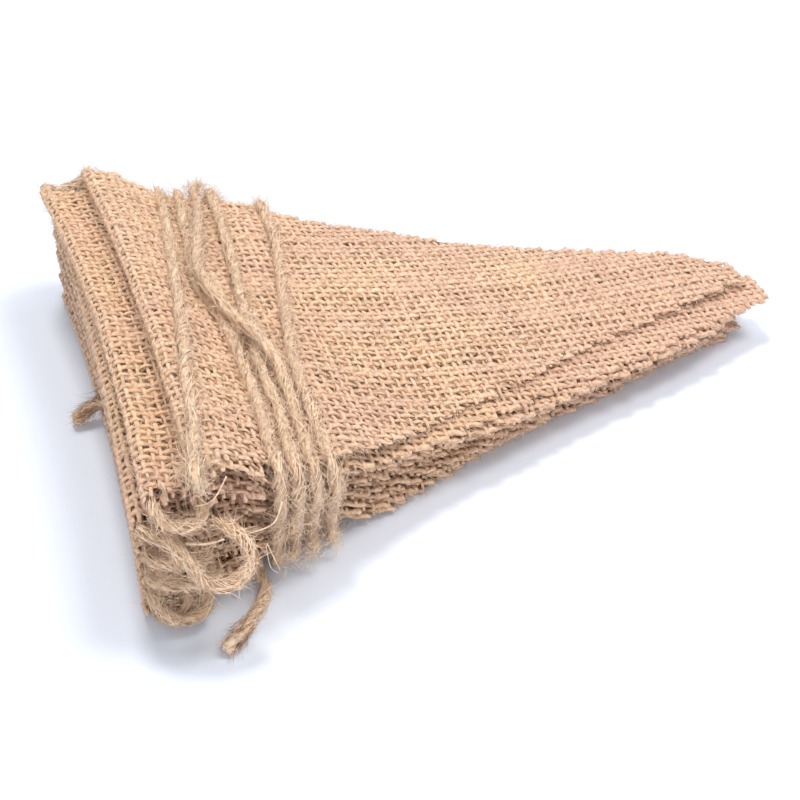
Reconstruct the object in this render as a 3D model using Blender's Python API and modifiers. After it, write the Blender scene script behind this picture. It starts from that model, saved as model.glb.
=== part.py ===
"""A stack of twelve burlap pennants on one jute twine, with the rest of the twine wound round it.

+X runs from the hems to the tips, +Y away from the viewer, +Z up. Sizes are in millimetres. The tables
count x and y from a spot under the stack, and CENTRE then puts the middle of its footprint on the origin.
"""

import math

import bmesh
import bpy

MM = 0.001
CENTRE = (6.30, 7.96)  # x and y of the middle of the pennants' footprint

# Cloth
CLOTH = 1.0  # thickness of the burlap
GAP = 0.3  # air between pieces that lie on each other
HEM_DEPTH = 17.0  # from the fold to the free edge of the flap
HALF_AT_FOLD = 72.0  # half of a pennant's width at its fold
HALF_AT_FLAP = 69.5  # half of the flap's width at its free edge
HALF_AT_TIP = 2.2
BLUNT_AT = 21.0  # before the tip, where a side that was cut blunt turns in
EDGE_WAVE = 0.5  # how far a cut edge strays from its line
EDGE_PERIOD, EDGE_TURN = 9.0, 2.1  # a radian of that stray along the edge, and its turn per pennant
DRAPE = 5.0  # length over which cloth settles past a step

# Twine
TWINE_R = 1.7  # radius where it is free
PRESSED_R = 0.97  # radius where a hem presses it
TUCKED_R = 1.15  # radius where it is caught between hems
LOOP_R = 1.85  # mid radius of the cloth round the twine
TWINE_AT = LOOP_R + CLOTH / 2  # from the fold to the twine's middle
DOUBLE = (CLOTH + GAP) / 2  # mid of one hem layer above or below the hem's middle

# The stack from hems to tips: where the lowest cloth runs, the rise from one pennant to the next, and
# how much higher the far edge of the top one lies than its middle.
PROFILE_COLUMNS = ("x", "base", "pitch", "far_lift")
PROFILE = (
    (-130.0, 2.37, 3.82, 0.0),
    (-72.0, 2.37, 3.82, 0.0),
    (-64.5, 4.35, 3.29, 0.3),
    (-60.0, 4.55, 3.04, 1.2),
    (-50.0, 4.55, 2.72, 3.4),
    (-42.0, 4.55, 2.47, 4.3),
    (-30.0, 2.10, 2.36, 4.4),
    (-15.0, 0.80, 2.18, 3.9),
    (0.0, 0.50, 2.00, 3.4),
    (30.0, 0.50, 1.67, 2.6),
    (60.0, 0.50, 1.52, 2.2),
    (80.0, 0.50, 1.48, 2.0),
    (98.0, 0.50, 1.45, 0.0),
    (130.0, 0.50, 1.42, 0.0),
)
LOOSE_FROM, LOOSE_OVER = -68.0, 18.0  # where the cloth starts to lie loose past the hems, and over what length
CROWN = 0.05  # share of the pitch that is lost at the near edge
CROWN_TO, CROWN_OVER = 75.0, 40.0  # where the crown has gone, and over what length it fades
LIFT_FROM, LIFT_OVER = -0.25, 1.25  # share of the half width where the far lift starts, and over what share
WAVE = 0.36  # how much of the free air a pennant's own waves may take
WAVES = ((71.0, 97.0, 2.4), (43.0, -61.0, 1.7))  # each wave's length along x and y, and its turn per pennant
HEMS_X = -80.0  # about where the hems lie
STACK_MID_Y, STACK_TURN = 5.0, 0.03  # the stack's middle line at the hems, and how it turns to the near side
STACK_HALF, STACK_TAPER, STACK_HALF_LEAST = 72.0, 0.38, 14.0  # its half width, and how that narrows

# One row for each pennant, lowest first. tilt: how far the fold's near end stands out to -X. bow: how
# far its middle stands in to +X. The blunt columns: how much wider each side is where it turns in.
PENNANT_COLUMNS = ("fold_x", "mid_y", "tip_y", "tilt", "bow", "length", "near_blunt", "far_blunt")
PENNANTS = (
    (-91.0, 9.0, 0.5, 0.9, 2.6, 184.0, 0.0, 1.0),
    (-79.5, 11.5, 3.5, 0.5, 0.0, 178.0, 1.2, 0.0),
    (-91.0, 9.0, 0.0, 0.9, 2.6, 185.0, 0.0, 2.0),
    (-78.8, 10.5, 4.5, -0.3, 0.3, 176.5, 0.8, 0.5),
    (-91.0, 8.5, -0.5, 0.9, 2.4, 184.0, 0.0, 0.0),
    (-79.5, 9.5, 4.0, 0.5, 0.0, 178.5, 0.0, 1.0),
    (-91.0, 7.5, -1.5, 1.2, 2.2, 183.0, 0.5, 0.5),
    (-78.5, 8.0, 4.5, -0.3, 0.5, 177.5, 0.2, 1.0),
    (-91.2, 6.5, -3.0, 1.4, 2.0, 185.0, 0.5, 0.0),
    (-78.8, 5.0, -2.0, 0.8, 0.8, 184.0, 2.5, 2.0),
    (-91.0, 4.5, 1.0, 0.2, 3.2, 183.5, 0.5, 1.0),
    (-79.2, 5.0, 4.0, 0.3, 2.2, 183.0, 0.0, 4.0),
)
TOP = len(PENNANTS) - 1

# Where the grid lines of a pennant lie. Across: shares of the half width. Along: from the fold.
ACROSS = (-1.0, -0.68, -0.34, 0.0, 0.34, 0.68, 1.0)
FOLD_STEPS = 6  # round the twine
HEM_ALONG = (2.2, 5.0)  # past the twine's middle, where the hem closes
HEM_FLAT = 12.0  # from the fold, where the hem's layers lie flat on each other
HEM_OVER = 22.0  # where the cloth has settled past the hem
LEAST_STRIP = 2.0  # between two of those lines
BODY_X = (-64.5, -57.5, -50.0, -42.0, -31.0, -16.0, 2.0, 24.0, 46.0)  # of every pennant's lines, in the world
TIP_LINES = (34.0, 21.0, 10.0, 0.0)  # before the tip

# Colours and roughness
CLOTH_TAN, CLOTH_ROUGH = (0.66, 0.43, 0.25, 1.0), 0.95
TWINE_TAN, TWINE_ROUGH = (0.56, 0.40, 0.25, 1.0), 0.9


def row_value(rows, columns, name, x):
    """A column of a table at x, on a smooth curve that never overshoots its rows."""
    column = columns.index(name)
    last = len(rows) - 2
    i = min(last, max(0, sum(row[0] <= x for row in rows) - 1))
    slopes = [(b[column] - a[column]) / (b[0] - a[0]) for a, b in zip(rows, rows[1:])]

    def tangent(j):
        if j == 0 or j > last or slopes[j - 1] * slopes[j] <= 0:
            return 0.0
        return 2 * slopes[j - 1] * slopes[j] / (slopes[j - 1] + slopes[j])

    width = rows[i + 1][0] - rows[i][0]
    t = min(1.0, max(0.0, (x - rows[i][0]) / width))
    rise = 3 * t * t - 2 * t**3
    start, end = rows[i][column], rows[i + 1][column]
    bend = width * (tangent(i) * (t - 2 * t * t + t**3) + tangent(i + 1) * (t**3 - t * t))
    return start + (end - start) * rise + bend


def ease(t):
    """0 below 0, 1 above 1, and smooth between."""
    t = min(1.0, max(0.0, t))
    return t * t * (3 - 2 * t)


def of_pennant(k, name):
    return PENNANTS[k][PENNANT_COLUMNS.index(name)]


def half_width(k, along, side):
    """Half of pennant k's width on its near (-1) or far (+1) side, at a distance from its fold."""
    length = of_pennant(k, "length")
    turn = length - BLUNT_AT
    blunt = of_pennant(k, "near_blunt" if side < 0 else "far_blunt")
    line = HALF_AT_FOLD + (HALF_AT_TIP - HALF_AT_FOLD) * along / length
    return line + blunt * max(0.0, min(along / turn, (length - along) / BLUNT_AT))


def middle(k, along):
    """World y of pennant k's middle line, at a distance from its fold."""
    mid_y = of_pennant(k, "mid_y")
    return mid_y + (of_pennant(k, "tip_y") - mid_y) * along / of_pennant(k, "length")


def stack_share(x, y):
    """Where a spot lies across the stack: -1 at its near edge and 1 at its far one."""
    half = max(STACK_HALF_LEAST, STACK_HALF - STACK_TAPER * (x - HEMS_X))
    return (y - STACK_MID_Y + STACK_TURN * (x - HEMS_X)) / half


def level(k, x, y):
    """Height of the middle of pennant k, with its lift, its crown and its own slight waves."""
    base, pitch, far_lift = (row_value(PROFILE, PROFILE_COLUMNS, name, x) for name in PROFILE_COLUMNS[1:])
    loose, share = ease((x - LOOSE_FROM) / LOOSE_OVER), stack_share(x, y)
    crown = CROWN * loose * ease((CROWN_TO - x) / CROWN_OVER) * min(1.0, min(0.0, share) ** 2)
    lift = far_lift * k / TOP * ease((share - LIFT_FROM) / LIFT_OVER)
    wave = sum(math.sin(2 * math.pi * (x / along + y / across) + turn * k) for along, across, turn in WAVES)
    air = max(0.0, pitch - CLOTH - GAP)
    return base + k * pitch * (1 - crown) + lift + min(1, k) * loose * WAVE * air * wave / len(WAVES)


def spot(k, along, across):
    """World x and y of a spot on pennant k, from its fold and its middle line."""
    share, side = along / of_pennant(k, "length"), across / HALF_AT_FOLD
    x = of_pennant(k, "fold_x") + along + of_pennant(k, "tilt") * (1 - share) * side
    x += of_pennant(k, "bow") * max(0.0, 1 - side * side) * (1 - share)
    return x, middle(k, along) + across


def hem_rise(along):
    """Half of the space between the mids of a hem's two layers, past the twine's middle."""
    closing = ease((along - TWINE_AT) / DRAPE)
    return LOOP_R + (DOUBLE - LOOP_R) * closing


def section(k):
    """The pennant's section from the flap's free edge, round the twine and on to the tip.

    Each row holds the distance from the fold, the rise above the hem's middle, and the layer.
    """
    rows = [(along, -DOUBLE, "flap") for along in (HEM_DEPTH, HEM_FLAT)]
    rows += [(TWINE_AT + a, -hem_rise(TWINE_AT + a), "flap") for a in reversed(HEM_ALONG)]
    for step in range(FOLD_STEPS + 1):
        angle = math.pi * step / FOLD_STEPS
        along = TWINE_AT - LOOP_R * math.sin(angle)
        rows.append((along, -LOOP_R * math.cos(angle), "flap" if angle < math.pi / 2 else "body"))
    rows += [(TWINE_AT + a, hem_rise(TWINE_AT + a), "body") for a in HEM_ALONG]
    rows += [(along, DOUBLE, "body") for along in (HEM_FLAT, HEM_DEPTH)]
    fold_x, length = of_pennant(k, "fold_x"), of_pennant(k, "length")
    lines = [HEM_OVER] + [x - fold_x for x in BODY_X if x - fold_x > HEM_OVER + LEAST_STRIP]
    return rows + [(along, 0.0, "body") for along in lines + [length - before for before in TIP_LINES]]


def collection(name):
    made = bpy.data.collections.new(name)
    bpy.context.scene.collection.children.link(made)
    return made


def footprint_middle(parts):
    """The empty that carries every piece, so that the middle of the footprint is on the origin."""
    made = bpy.data.objects.new("footprint_middle", None)
    made.location = (-CENTRE[0] * MM, -CENTRE[1] * MM, 0.0)
    parts.objects.link(made)
    return made


def material(name, colour, roughness):
    made = bpy.data.materials.new(name)
    made.use_nodes = True
    shader = made.node_tree.nodes["Principled BSDF"]
    shader.inputs["Base Color"].default_value = colour
    shader.inputs["Roughness"].default_value = roughness
    shader.inputs["Metallic"].default_value = 0.0
    return made


def pennant(k, parts, middle_spot):
    """One pennant: a grid laid along its section, then given the cloth's thickness."""
    rows = section(k)
    along_last, across_last = len(rows) - 1, len(ACROSS) - 1
    shape = bmesh.new()
    bmesh.ops.create_grid(shape, x_segments=along_last, y_segments=across_last, size=1)
    for vertex in shape.verts:
        along, rise, layer = rows[round((vertex.co.x + 1) / 2 * along_last)]
        share = ACROSS[round((vertex.co.y + 1) / 2 * across_last)]
        half = half_width(k, along, share)
        if layer == "flap":
            half = HALF_AT_FOLD + (HALF_AT_FLAP - HALF_AT_FOLD) * along / HEM_DEPTH
        elif HEM_DEPTH < along < of_pennant(k, "length"):
            half += EDGE_WAVE * math.sin(along / EDGE_PERIOD + EDGE_TURN * k + share)
        x, y = spot(k, along, share * half)
        vertex.co = (x * MM, y * MM, (level(k, x, y) + rise) * MM)
    bmesh.ops.recalc_face_normals(shape, faces=shape.faces)
    name = f"pennant_{k + 1:02d}"
    mesh = bpy.data.meshes.new(name)
    shape.to_mesh(mesh)
    shape.free()
    made = bpy.data.objects.new(name, mesh)
    parts.objects.link(made)
    thick = made.modifiers.new("thickness", "SOLIDIFY")
    thick.thickness = CLOTH * MM
    thick.offset = 0.0
    thick.use_even_offset = True
    thick.use_quality_normals = True
    mesh.shade_smooth()
    made.data.materials.append(material(name + "_burlap", CLOTH_TAN, CLOTH_ROUGH))
    made.parent = middle_spot
    return made


def smooth(points, spacing):
    """Points at about the spacing on a smooth curve through (x, y, z, radius) rows."""
    made = []
    for i in range(len(points) - 1):
        p0, p1 = points[max(0, i - 1)], points[i]
        p2, p3 = points[i + 1], points[min(len(points) - 1, i + 2)]
        steps = max(1, round(math.dist(p1[:3], p2[:3]) / spacing))
        for step in range(steps):
            t = step / steps
            made.append(
                tuple(
                    b + 0.5 * ((c - a) * t + (2 * a - 5 * b + 4 * c - d) * t * t + (3 * b - a - 3 * c + d) * t**3)
                    for a, b, c, d in zip(p0, p1, p2, p3)
                )
            )
    made.append(points[-1])
    return made


def twine(name, points, parts, middle_spot):
    """A length of twine: a round tube along (x, y, z, radius) points, with closed ends."""
    curve = bpy.data.curves.new(name, "CURVE")
    curve.dimensions = "3D"
    curve.bevel_depth = TWINE_R * MM
    curve.bevel_resolution = 2
    curve.use_fill_caps = True
    spline = curve.splines.new("POLY")
    spline.points.add(len(points) - 1)
    for point, (x, y, z, radius) in zip(spline.points, points):
        point.co = (x * MM, y * MM, z * MM, 1)
        point.radius = radius / TWINE_R
    made = bpy.data.objects.new(name, curve)
    curve.materials.append(material(name + "_jute", TWINE_TAN, TWINE_ROUGH))
    made.parent = middle_spot
    parts.objects.link(made)
    return made


def in_hem(k, across, out=0.0):
    """The twine's middle inside hem k, or straight out past its mouth."""
    x, y = spot(k, TWINE_AT, across)
    return (x, y + math.copysign(out, across), level(k, x, y), PRESSED_R if out < 1 else TWINE_R)


def hem_run(k, towards_far):
    """The points of the twine through hem k, from mouth to mouth."""
    sign = 1 if towards_far else -1
    run = [in_hem(k, sign * share * HALF_AT_FOLD) for share in ACROSS]
    ends = [in_hem(k, end * HALF_AT_FOLD, MOUTH_LINE) for end in (-sign, sign)]
    return ends[:1] + run + ends[1:]


LINK_ROOM = 2.3  # from the cloth's outermost edge near a link to the link's middle
LINK_SAG, LINK_SAG_LEAST = {9: 3.5, 10: 5.0}, 0.3  # how far the links hang down, most at the upper hems
LINK_COLUMNS = ("share", "drop", "out")  # along the link, share of its sag, and how far it stands out
LINK = ((0.0, 0.2, 0.0), (0.25, 0.85, 1.2), (0.75, 1.0, 1.4), (1.0, 0.4, 0.2))
TURN_SPACING, RUN_SPACING, TAIL_SPACING = 5.0, 7.0, 8.0  # between a cord's points
MOUTH_OUT, MOUTH_LINE = 1.5, 0.5  # how far past a hem's mouth the twine is free, and is still pressed


def short_link(k, side):
    """The twine between hems k and k + 1, past their ends: a narrow turn."""
    beside = range(max(0, k - 2), min(TOP, k + 3) + 1)
    y = side * (max(side * of_pennant(j, "mid_y") for j in beside) + HALF_AT_FOLD + LINK_ROOM)
    a, b = (in_hem(j, side * HALF_AT_FOLD) for j in (k, k + 1))
    sag = LINK_SAG.get(k, LINK_SAG_LEAST)
    rows = []
    for share, drop, out in LINK:
        x, z = (p + (q - p) * share for p, q in ((a[0], b[0]), (a[2], b[2])))
        rows.append((x, y + side * out, z - sag * drop, TWINE_R))
    return smooth(rows, TURN_SPACING)


# The open loops that hang at the near side, from hem 2 to hem 3 and from hem 8 to hem 9.
LOOP_COLUMNS = ("x", "y", "z")
LOOPS = {
    1: (
        (-76.6, -63.5, 5.6),
        (-76.2, -67.2, 4.9),
        (-79.8, -69.6, 4.0),
        (-85.0, -69.6, 4.4),
        (-88.6, -67.6, 7.0),
    ),
    7: (
        (-73.6, -69.0, 31.6),
        (-69.8, -73.0, 29.0),
        (-69.4, -75.5, 24.0),
        (-73.6, -77.0, 20.8),
        (-79.0, -76.5, 21.8),
        (-82.4, -74.0, 26.6),
        (-85.8, -71.0, 30.6),
    ),
}


def open_loop(k):
    """The twine between hems k and k + 1 where it hangs out in a loop."""
    rows = [in_hem(k, -HALF_AT_FOLD, MOUTH_OUT)]
    rows += [point + (TWINE_R,) for point in LOOPS[k]]
    rows += [in_hem(k + 1, -HALF_AT_FOLD, MOUTH_OUT)]
    return smooth(rows, TURN_SPACING)


# The free end at the left, from its tip to the mouth of the lowest hem.
LEFT_END_COLUMNS = ("x", "y", "z", "radius")
LEFT_END = (
    (-97.2, 17.6, 2.5, 2.3),
    (-95.0, 18.0, 2.6, 2.3),
    (-92.8, 18.4, 3.6, 1.9),
    (-90.5, 18.4, 5.4, 1.4),
    (-87.5, 17.6, 6.15, TUCKED_R),
    (-84.2, 15.2, 6.15, TUCKED_R),
    (-82.0, 11.0, 6.15, TUCKED_R),
    (-81.4, 4.0, 6.15, TUCKED_R),
    (-81.5, -25.0, 6.15, TUCKED_R),
    (-81.9, -56.0, 6.15, TUCKED_R),
    (-82.3, -63.5, 6.0, TUCKED_R),
    (-84.6, -66.6, 4.6, TUCKED_R),
    (-87.6, -66.4, 3.0, TUCKED_R),
    (-88.2, -64.2, 2.4, 1.1),
)


CUT_HEMS = (4, 8)  # the hems inside which the twine's lengths meet


def hem_twine():
    """The twine from the left end through every hem to the near mouth of the top one, in lengths."""
    whole, cuts = smooth(list(LEFT_END), TAIL_SPACING), []
    for k in range(TOP + 1):
        run = hem_run(k, towards_far=k % 2 == 0)
        if k in CUT_HEMS:
            cuts.append(len(whole) + len(run) // 2)
        whole += run
        if k == TOP:
            break
        if k in LOOPS:
            whole += open_loop(k)
        else:
            whole += short_link(k, 1 if k % 2 == 0 else -1)
    return cut_lengths(whole, cuts)


CUT_GAP = 0.33  # between two lengths of the twine


def cut_lengths(points, cuts):
    """The run in lengths, each starting a small gap past the end of the last."""
    lengths, start = [], 0
    for cut in cuts:
        lengths.append(points[start : cut + 1])
        here, beyond = points[cut], points[cut + 1]
        share = CUT_GAP / math.dist(here[:3], beyond[:3])
        points[cut] = tuple(a + (b - a) * share for a, b in zip(here, beyond))
        start = cut
    lengths.append(points[start:])
    return lengths


# The turns round the stack, in winding order. Each row is where the turn crosses the stack's top:
# x at the near edge, three spots between as (x, y, lift over other turns), and x at the far edge.
TURN_COLUMNS = ("near_x", "over", "far_x", "far_foot_x", "far_out")
TURNS = (
    (
        -58.6,
        (
            (-57.0, -38, 0.0),
            (-56.6, -22, 0.0),
            (-56.2, -6, 0.0),
            (-58.0, 7, 0.0),
            (-59.2, 20, 0.0),
            (-55.8, 45, 0.0),
        ),
        -53.2,
        -53.6,
        0.0,
    ),
    (-54.2, ((-52.6, -38, 0.0), (-52.2, -22, 0.0), (-49.0, 10, 0.0), (-46.0, 38, 0.0)), -44.3, -48.6, 0.0),
    (
        -49.6,
        (
            (-48.4, -38, 0.0),
            (-48.3, -23, 2.6),
            (-50.2, -14, 4.2),
            (-54.6, -4, 4.2),
            (-57.4, 7, 4.2),
            (-58.0, 18, 4.2),
            (-55.2, 33, 4.0),
            (-52.2, 46, 2.8),
            (-49.8, 57, 0.4),
        ),
        -48.6,
        -43.4,
        4.6,
    ),
    (-44.8, ((-44.2, -38, 0.0), (-43.2, -20, 0.0), (-39.6, 0, 0.0), (-32.6, 36, 0.0)), -31.0, -32.0, 0.0),
)
FIRST_FOOT = -59.3  # x where the first strand reaches the surface at the far side
UNDER_FEET = (-58.6, -53.6, -48.6, -43.4)  # x of the passes under the stack, at the near side
EDGE_ROOM = TWINE_R + GAP + 0.6  # from the cloth's outermost edge to a strand's middle
CORNER = 3.5  # how far in from an edge a strand starts to turn over it
CORNER_R = 1.4  # radius where it is drawn tight over an edge
CORNER_OUT, CORNER_UP = 1.1, 1.4  # from the edge of the top cloth to the strand's middle there
TOP_FROM = {-1: 25.0, 1: 22.0}  # height above which a side's cloths carry the strands over the edge
BOTTOM_TO = 12.0  # height below which cloths matter to the strands under the stack
BESIDE = 9.0  # how far above and below a strand's spot a cloth's edge still pushes it out
SIDE_SHARES = (0.9, 0.7, 0.45, 0.2, 0.04)  # heights of a strand's points on its way down a side
UNDER_SHARES = (0, 0.25, 0.5, 0.75, 1)
UNDER_IN = {1: 3.0, -1: 2.6}  # how far in from the lowest cloth's edge a strand turns up
TOP_ROOM = 0.2  # more room under a strand on top, where the cloth's facets bulge
FLOOR_ROOM = 0.03  # under a strand on the surface


SIDE_Y = 60.0  # where a side's heights are read


def outer_y(x, side, z_low=0.0, z_high=99.0):
    """How far the stack reaches at x on one side, among the pennants between two heights."""
    reach = []
    for k in range(TOP + 1):
        along = x - of_pennant(k, "fold_x")
        if 0 < along < of_pennant(k, "length") and z_low <= level(k, x, side * SIDE_Y) <= z_high:
            reach.append(side * middle(k, along) + half_width(k, along, side) + EDGE_WAVE)
    return side * max(reach)


def top_surface(x, y):
    """The upper face of the top pennant, as its grid lines give it."""
    lines = []
    for along, rise, layer in section(TOP):
        if layer == "body" and along >= TWINE_AT - LOOP_R / 2:
            line_x = spot(TOP, along, y - middle(TOP, along))[0]
            lines.append((line_x, level(TOP, line_x, y) + rise))
    i = min(len(lines) - 2, max(0, sum(line[0] <= x for line in lines) - 1))
    (x0, z0), (x1, z1) = lines[i], lines[i + 1]
    slope = (z1 - z0) / (x1 - x0)
    return z0 + slope * (x - x0) + CLOTH / 2 * math.hypot(1, slope)


def on_top(x, y, lift=0.0):
    """A strand's middle where it lies across the top pennant."""
    room = TWINE_R + GAP + TOP_ROOM
    z = max(top_surface(x + room * b / 4, y) + room * math.sqrt(1 - b * b / 16) for b in range(-4, 5))
    return (x, y, z + lift, TWINE_R)


def side_drop(x_top, x_foot, side, out=0.0):
    """A strand from the top edge down one side to the surface, following the stack's lean."""
    edge = outer_y(x_top, side, TOP_FROM[side])
    height = top_surface(x_top, edge) + CORNER_UP
    rows = [(x_top, edge + side * CORNER_OUT, height, CORNER_R)]
    for share in SIDE_SHARES:
        x = x_top + (x_foot - x_top) * (1 - share)
        z = TWINE_R + (height - TWINE_R) * share
        room = EDGE_ROOM + out * math.sin(math.pi * share) ** 0.5
        rows.append((x, outer_y(x, side, z - BESIDE, z + BESIDE) + side * room, z, TWINE_R))
    return rows


def top_pass(rows):
    """A strand over the stack's top along (x, y, lift) rows."""
    return [on_top(x, y, lift) for x, y, lift, _ in smooth([row + (0.0,) for row in rows], RUN_SPACING)]


def over_top(near_x, over, far_x):
    """A strand over the stack's top, from the near edge to the far one."""
    near_y, far_y = outer_y(near_x, -1, TOP_FROM[-1]), outer_y(far_x, 1, TOP_FROM[1])
    return top_pass([(near_x, near_y + CORNER, 0.0), *over, (far_x, far_y - CORNER, 0.0)])


def under_pass(far_x, near_x):
    """A strand on the surface under the stack, from the far side to the near one."""
    far_y = outer_y(far_x, 1, 0, BOTTOM_TO) - UNDER_IN[1]
    near_y = outer_y(near_x, -1, 0, BOTTOM_TO) + UNDER_IN[-1]
    spots = [(far_x + (near_x - far_x) * share, far_y + (near_y - far_y) * share) for share in UNDER_SHARES]
    return [(x, y, TWINE_R, TWINE_R) for x, y in spots]


# The strand from the top hem's near mouth, back over the hem and along the top to the far edge.
FIRST_RISE = ((-77.4, -70.4, 44.6), (-78.8, -72.6, 47.0), (-78.8, -70.4, 49.6))
FIRST_OVER = (
    (-77.4, -63.8, 0.0),
    (-75.2, -53.7, 0.0),
    (-71.9, -31.0, 0.0),
    (-67.4, -3.0, 0.0),
    (-62.4, 34.0, 0.0),
)
FIRST_FAR = -58.2
# The slack of the last turn, which lies on the surface behind the stack.
SLACK = (
    (-34.5, 70.0),
    (-41.0, 75.0),
    (-49.0, 78.5),
    (-58.0, 82.5),
    (-64.5, 83.5),
    (-67.0, 80.0),
    (-64.6, 74.0),
)
# The free end at the near side, from under the stack to its frayed tip.
NEAR_END = (
    (-63.1, 62.0, 1.7, 1.7),
    (-63.1, 20.0, 1.7, 1.7),
    (-63.1, -20.0, 1.7, 1.7),
    (-63.1, -50.0, 1.7, 1.7),
    (-63.2, -57.5, 1.7, 1.7),
    (-63.8, -62.8, 1.7, 1.7),
    (-67.0, -68.0, 1.8, 1.7),
    (-71.2, -72.8, 2.1, 1.9),
    (-75.2, -76.8, 2.5, 2.3),
    (-78.2, -79.4, 2.6, 2.4),
)


def winding():
    """The twine round the stack, in lengths that meet under it."""
    rows = [in_hem(TOP, -HALF_AT_FOLD, MOUTH_OUT)]
    rows += [point + (TWINE_R,) for point in FIRST_RISE]
    rows += top_pass([*FIRST_OVER, (FIRST_FAR, outer_y(FIRST_FAR, 1, TOP_FROM[-1]) - CORNER, 0.0)])
    rows += side_drop(FIRST_FAR, FIRST_FOOT, 1)
    foot, joints = FIRST_FOOT, []
    for (near_x, over, far_x, far_foot, out), under_x in zip(TURNS, UNDER_FEET):
        passing = under_pass(foot, under_x)
        joints.append(passing[2])
        rows += passing
        rows += list(reversed(side_drop(near_x, under_x, -1)))
        rows += over_top(near_x, over, far_x)
        rows += side_drop(far_x, far_foot, 1, out)
        foot = far_foot
    rows += [(x, y, TWINE_R, TWINE_R) for x, y in SLACK] + list(NEAR_END)
    points = [(x, y, max(z, radius + FLOOR_ROOM), radius) for x, y, z, radius in smooth(rows, RUN_SPACING)]
    cuts = [min(range(len(points)), key=lambda i: math.dist(points[i][:3], joint[:3])) for joint in joints]
    return cut_lengths(points, cuts[1:])


def main():
    for old in list(bpy.data.objects):
        bpy.data.objects.remove(old)
    parts = collection("fabric_bunting")
    middle_spot = footprint_middle(parts)
    for k in range(len(PENNANTS)):
        pennant(k, parts, middle_spot)
    for i, points in enumerate(hem_twine()):
        twine(f"twine_hems_{i + 1}", points, parts, middle_spot)
    for i, points in enumerate(winding()):
        twine(f"twine_winding_{i + 1}", points, parts, middle_spot)


main()
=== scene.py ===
"""The looks of a stack of burlap pennants on jute twine: woven cloth, twisted twine and loose fibres.

Lengths in the tables and formulas are in millimetres, counted as in the part's source. in_frame() turns
them into the frame's metres. Every piece stands where the frame's solids are.
"""

import math
from collections import namedtuple

import bpy
import numpy as np
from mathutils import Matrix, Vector


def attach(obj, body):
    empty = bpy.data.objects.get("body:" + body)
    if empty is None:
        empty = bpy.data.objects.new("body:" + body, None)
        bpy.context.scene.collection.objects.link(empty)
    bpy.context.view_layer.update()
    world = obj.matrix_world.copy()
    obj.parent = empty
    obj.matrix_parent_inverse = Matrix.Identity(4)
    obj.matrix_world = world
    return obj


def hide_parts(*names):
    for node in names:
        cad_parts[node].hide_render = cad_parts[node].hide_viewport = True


bl_info = {
    "name": "Fabric Bunting",
    "version": (1, 0, 0),
    "blender": (4, 5, 0),
    "location": "3D View > Sidebar > Bunting",
    "description": "Weaves burlap pennants, lays their twine and lights them",
    "category": "Object",
}

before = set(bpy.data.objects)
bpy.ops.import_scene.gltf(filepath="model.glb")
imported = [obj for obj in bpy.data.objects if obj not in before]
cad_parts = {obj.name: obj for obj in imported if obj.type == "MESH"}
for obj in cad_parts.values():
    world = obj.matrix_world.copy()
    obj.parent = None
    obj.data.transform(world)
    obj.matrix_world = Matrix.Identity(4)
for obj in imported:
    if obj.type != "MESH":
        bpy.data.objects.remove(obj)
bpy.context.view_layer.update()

MM = 0.001
CENTRE = (6.30, 7.96)  # x and y of the middle of the pennants' footprint
BODY = "root"

# Cloth
CLOTH = 1.0
GAP = 0.3  # between a hem's two layers
HEM_DEPTH = 17.0
HALF_AT_FOLD, HALF_AT_FLAP, HALF_AT_TIP = 72.0, 69.5, 2.2  # half of a pennant's width
BLUNT_AT = 21.0  # from the tip to where its blunt end is widest past a straight cut
# How far a cut edge strays, over what length, and how much further on in each next pennant.
EDGE_WAVE, EDGE_PERIOD, EDGE_TURN = 0.5, 9.0, 2.1
DRAPE = 5.0  # past the twine, until a hem's layers meet
HEM_OVER = 22.0  # from the fold to where the cloth is back at its own level

# Twine
TWINE_R = 1.7
PRESSED_R, TUCKED_R = 0.97, 1.15  # inside a hem, and under the lowest one
LOOP_R = 1.85  # of the cloth's turn round the twine
TWINE_AT = LOOP_R + CLOTH / 2
DOUBLE = (CLOTH + GAP) / 2

# The stack from hems to tips: where the lowest cloth runs, the rise from one pennant to the next, and
# how much higher the far edge of the top one lies than its middle.
PROFILE_COLUMNS = ("x", "base", "pitch", "far_lift")
PROFILE = (
    (-130.0, 2.37, 3.82, -0.2),
    (-72.0, 2.37, 3.82, -0.5),
    (-64.5, 4.35, 3.29, -0.7),
    (-60.0, 4.55, 3.04, -0.6),
    (-50.0, 4.55, 2.72, 1.8),
    (-42.0, 4.55, 2.47, 4.0),
    (-30.0, 2.10, 2.36, 4.4),
    (-15.0, 0.80, 2.18, 3.9),
    (0.0, 0.50, 2.00, 3.4),
    (30.0, 0.50, 1.67, 2.6),
    (60.0, 0.50, 1.52, 2.2),
    (80.0, 0.50, 1.48, 2.0),
    (98.0, 0.50, 1.45, 0.0),
    (130.0, 0.50, 1.42, 0.0),
)
LOOSE_FROM, LOOSE_OVER = -68.0, 18.0  # where along x the cloth begins to lie loose, past the hems
CROWN, CROWN_TO, CROWN_OVER = 0.05, 75.0, 40.0  # how much closer the near edges lie, and up to what x
LIFT_FROM, LIFT_OVER = -0.25, 1.25  # from where across the stack the far edge rises
WAVE = 0.36  # of the cloth's own waves, as a share of the air between two pennants
WAVES = ((71.0, 97.0, 2.4), (43.0, -61.0, 1.7))  # their lengths along x and y, and turn for each pennant
HEMS_X = -80.0
STACK_MID_Y, STACK_TURN = 5.0, 0.03  # the stack's middle line
STACK_HALF, STACK_TAPER, STACK_HALF_LEAST = 72.0, 0.38, 14.0  # half of its width, and how it narrows

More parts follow.
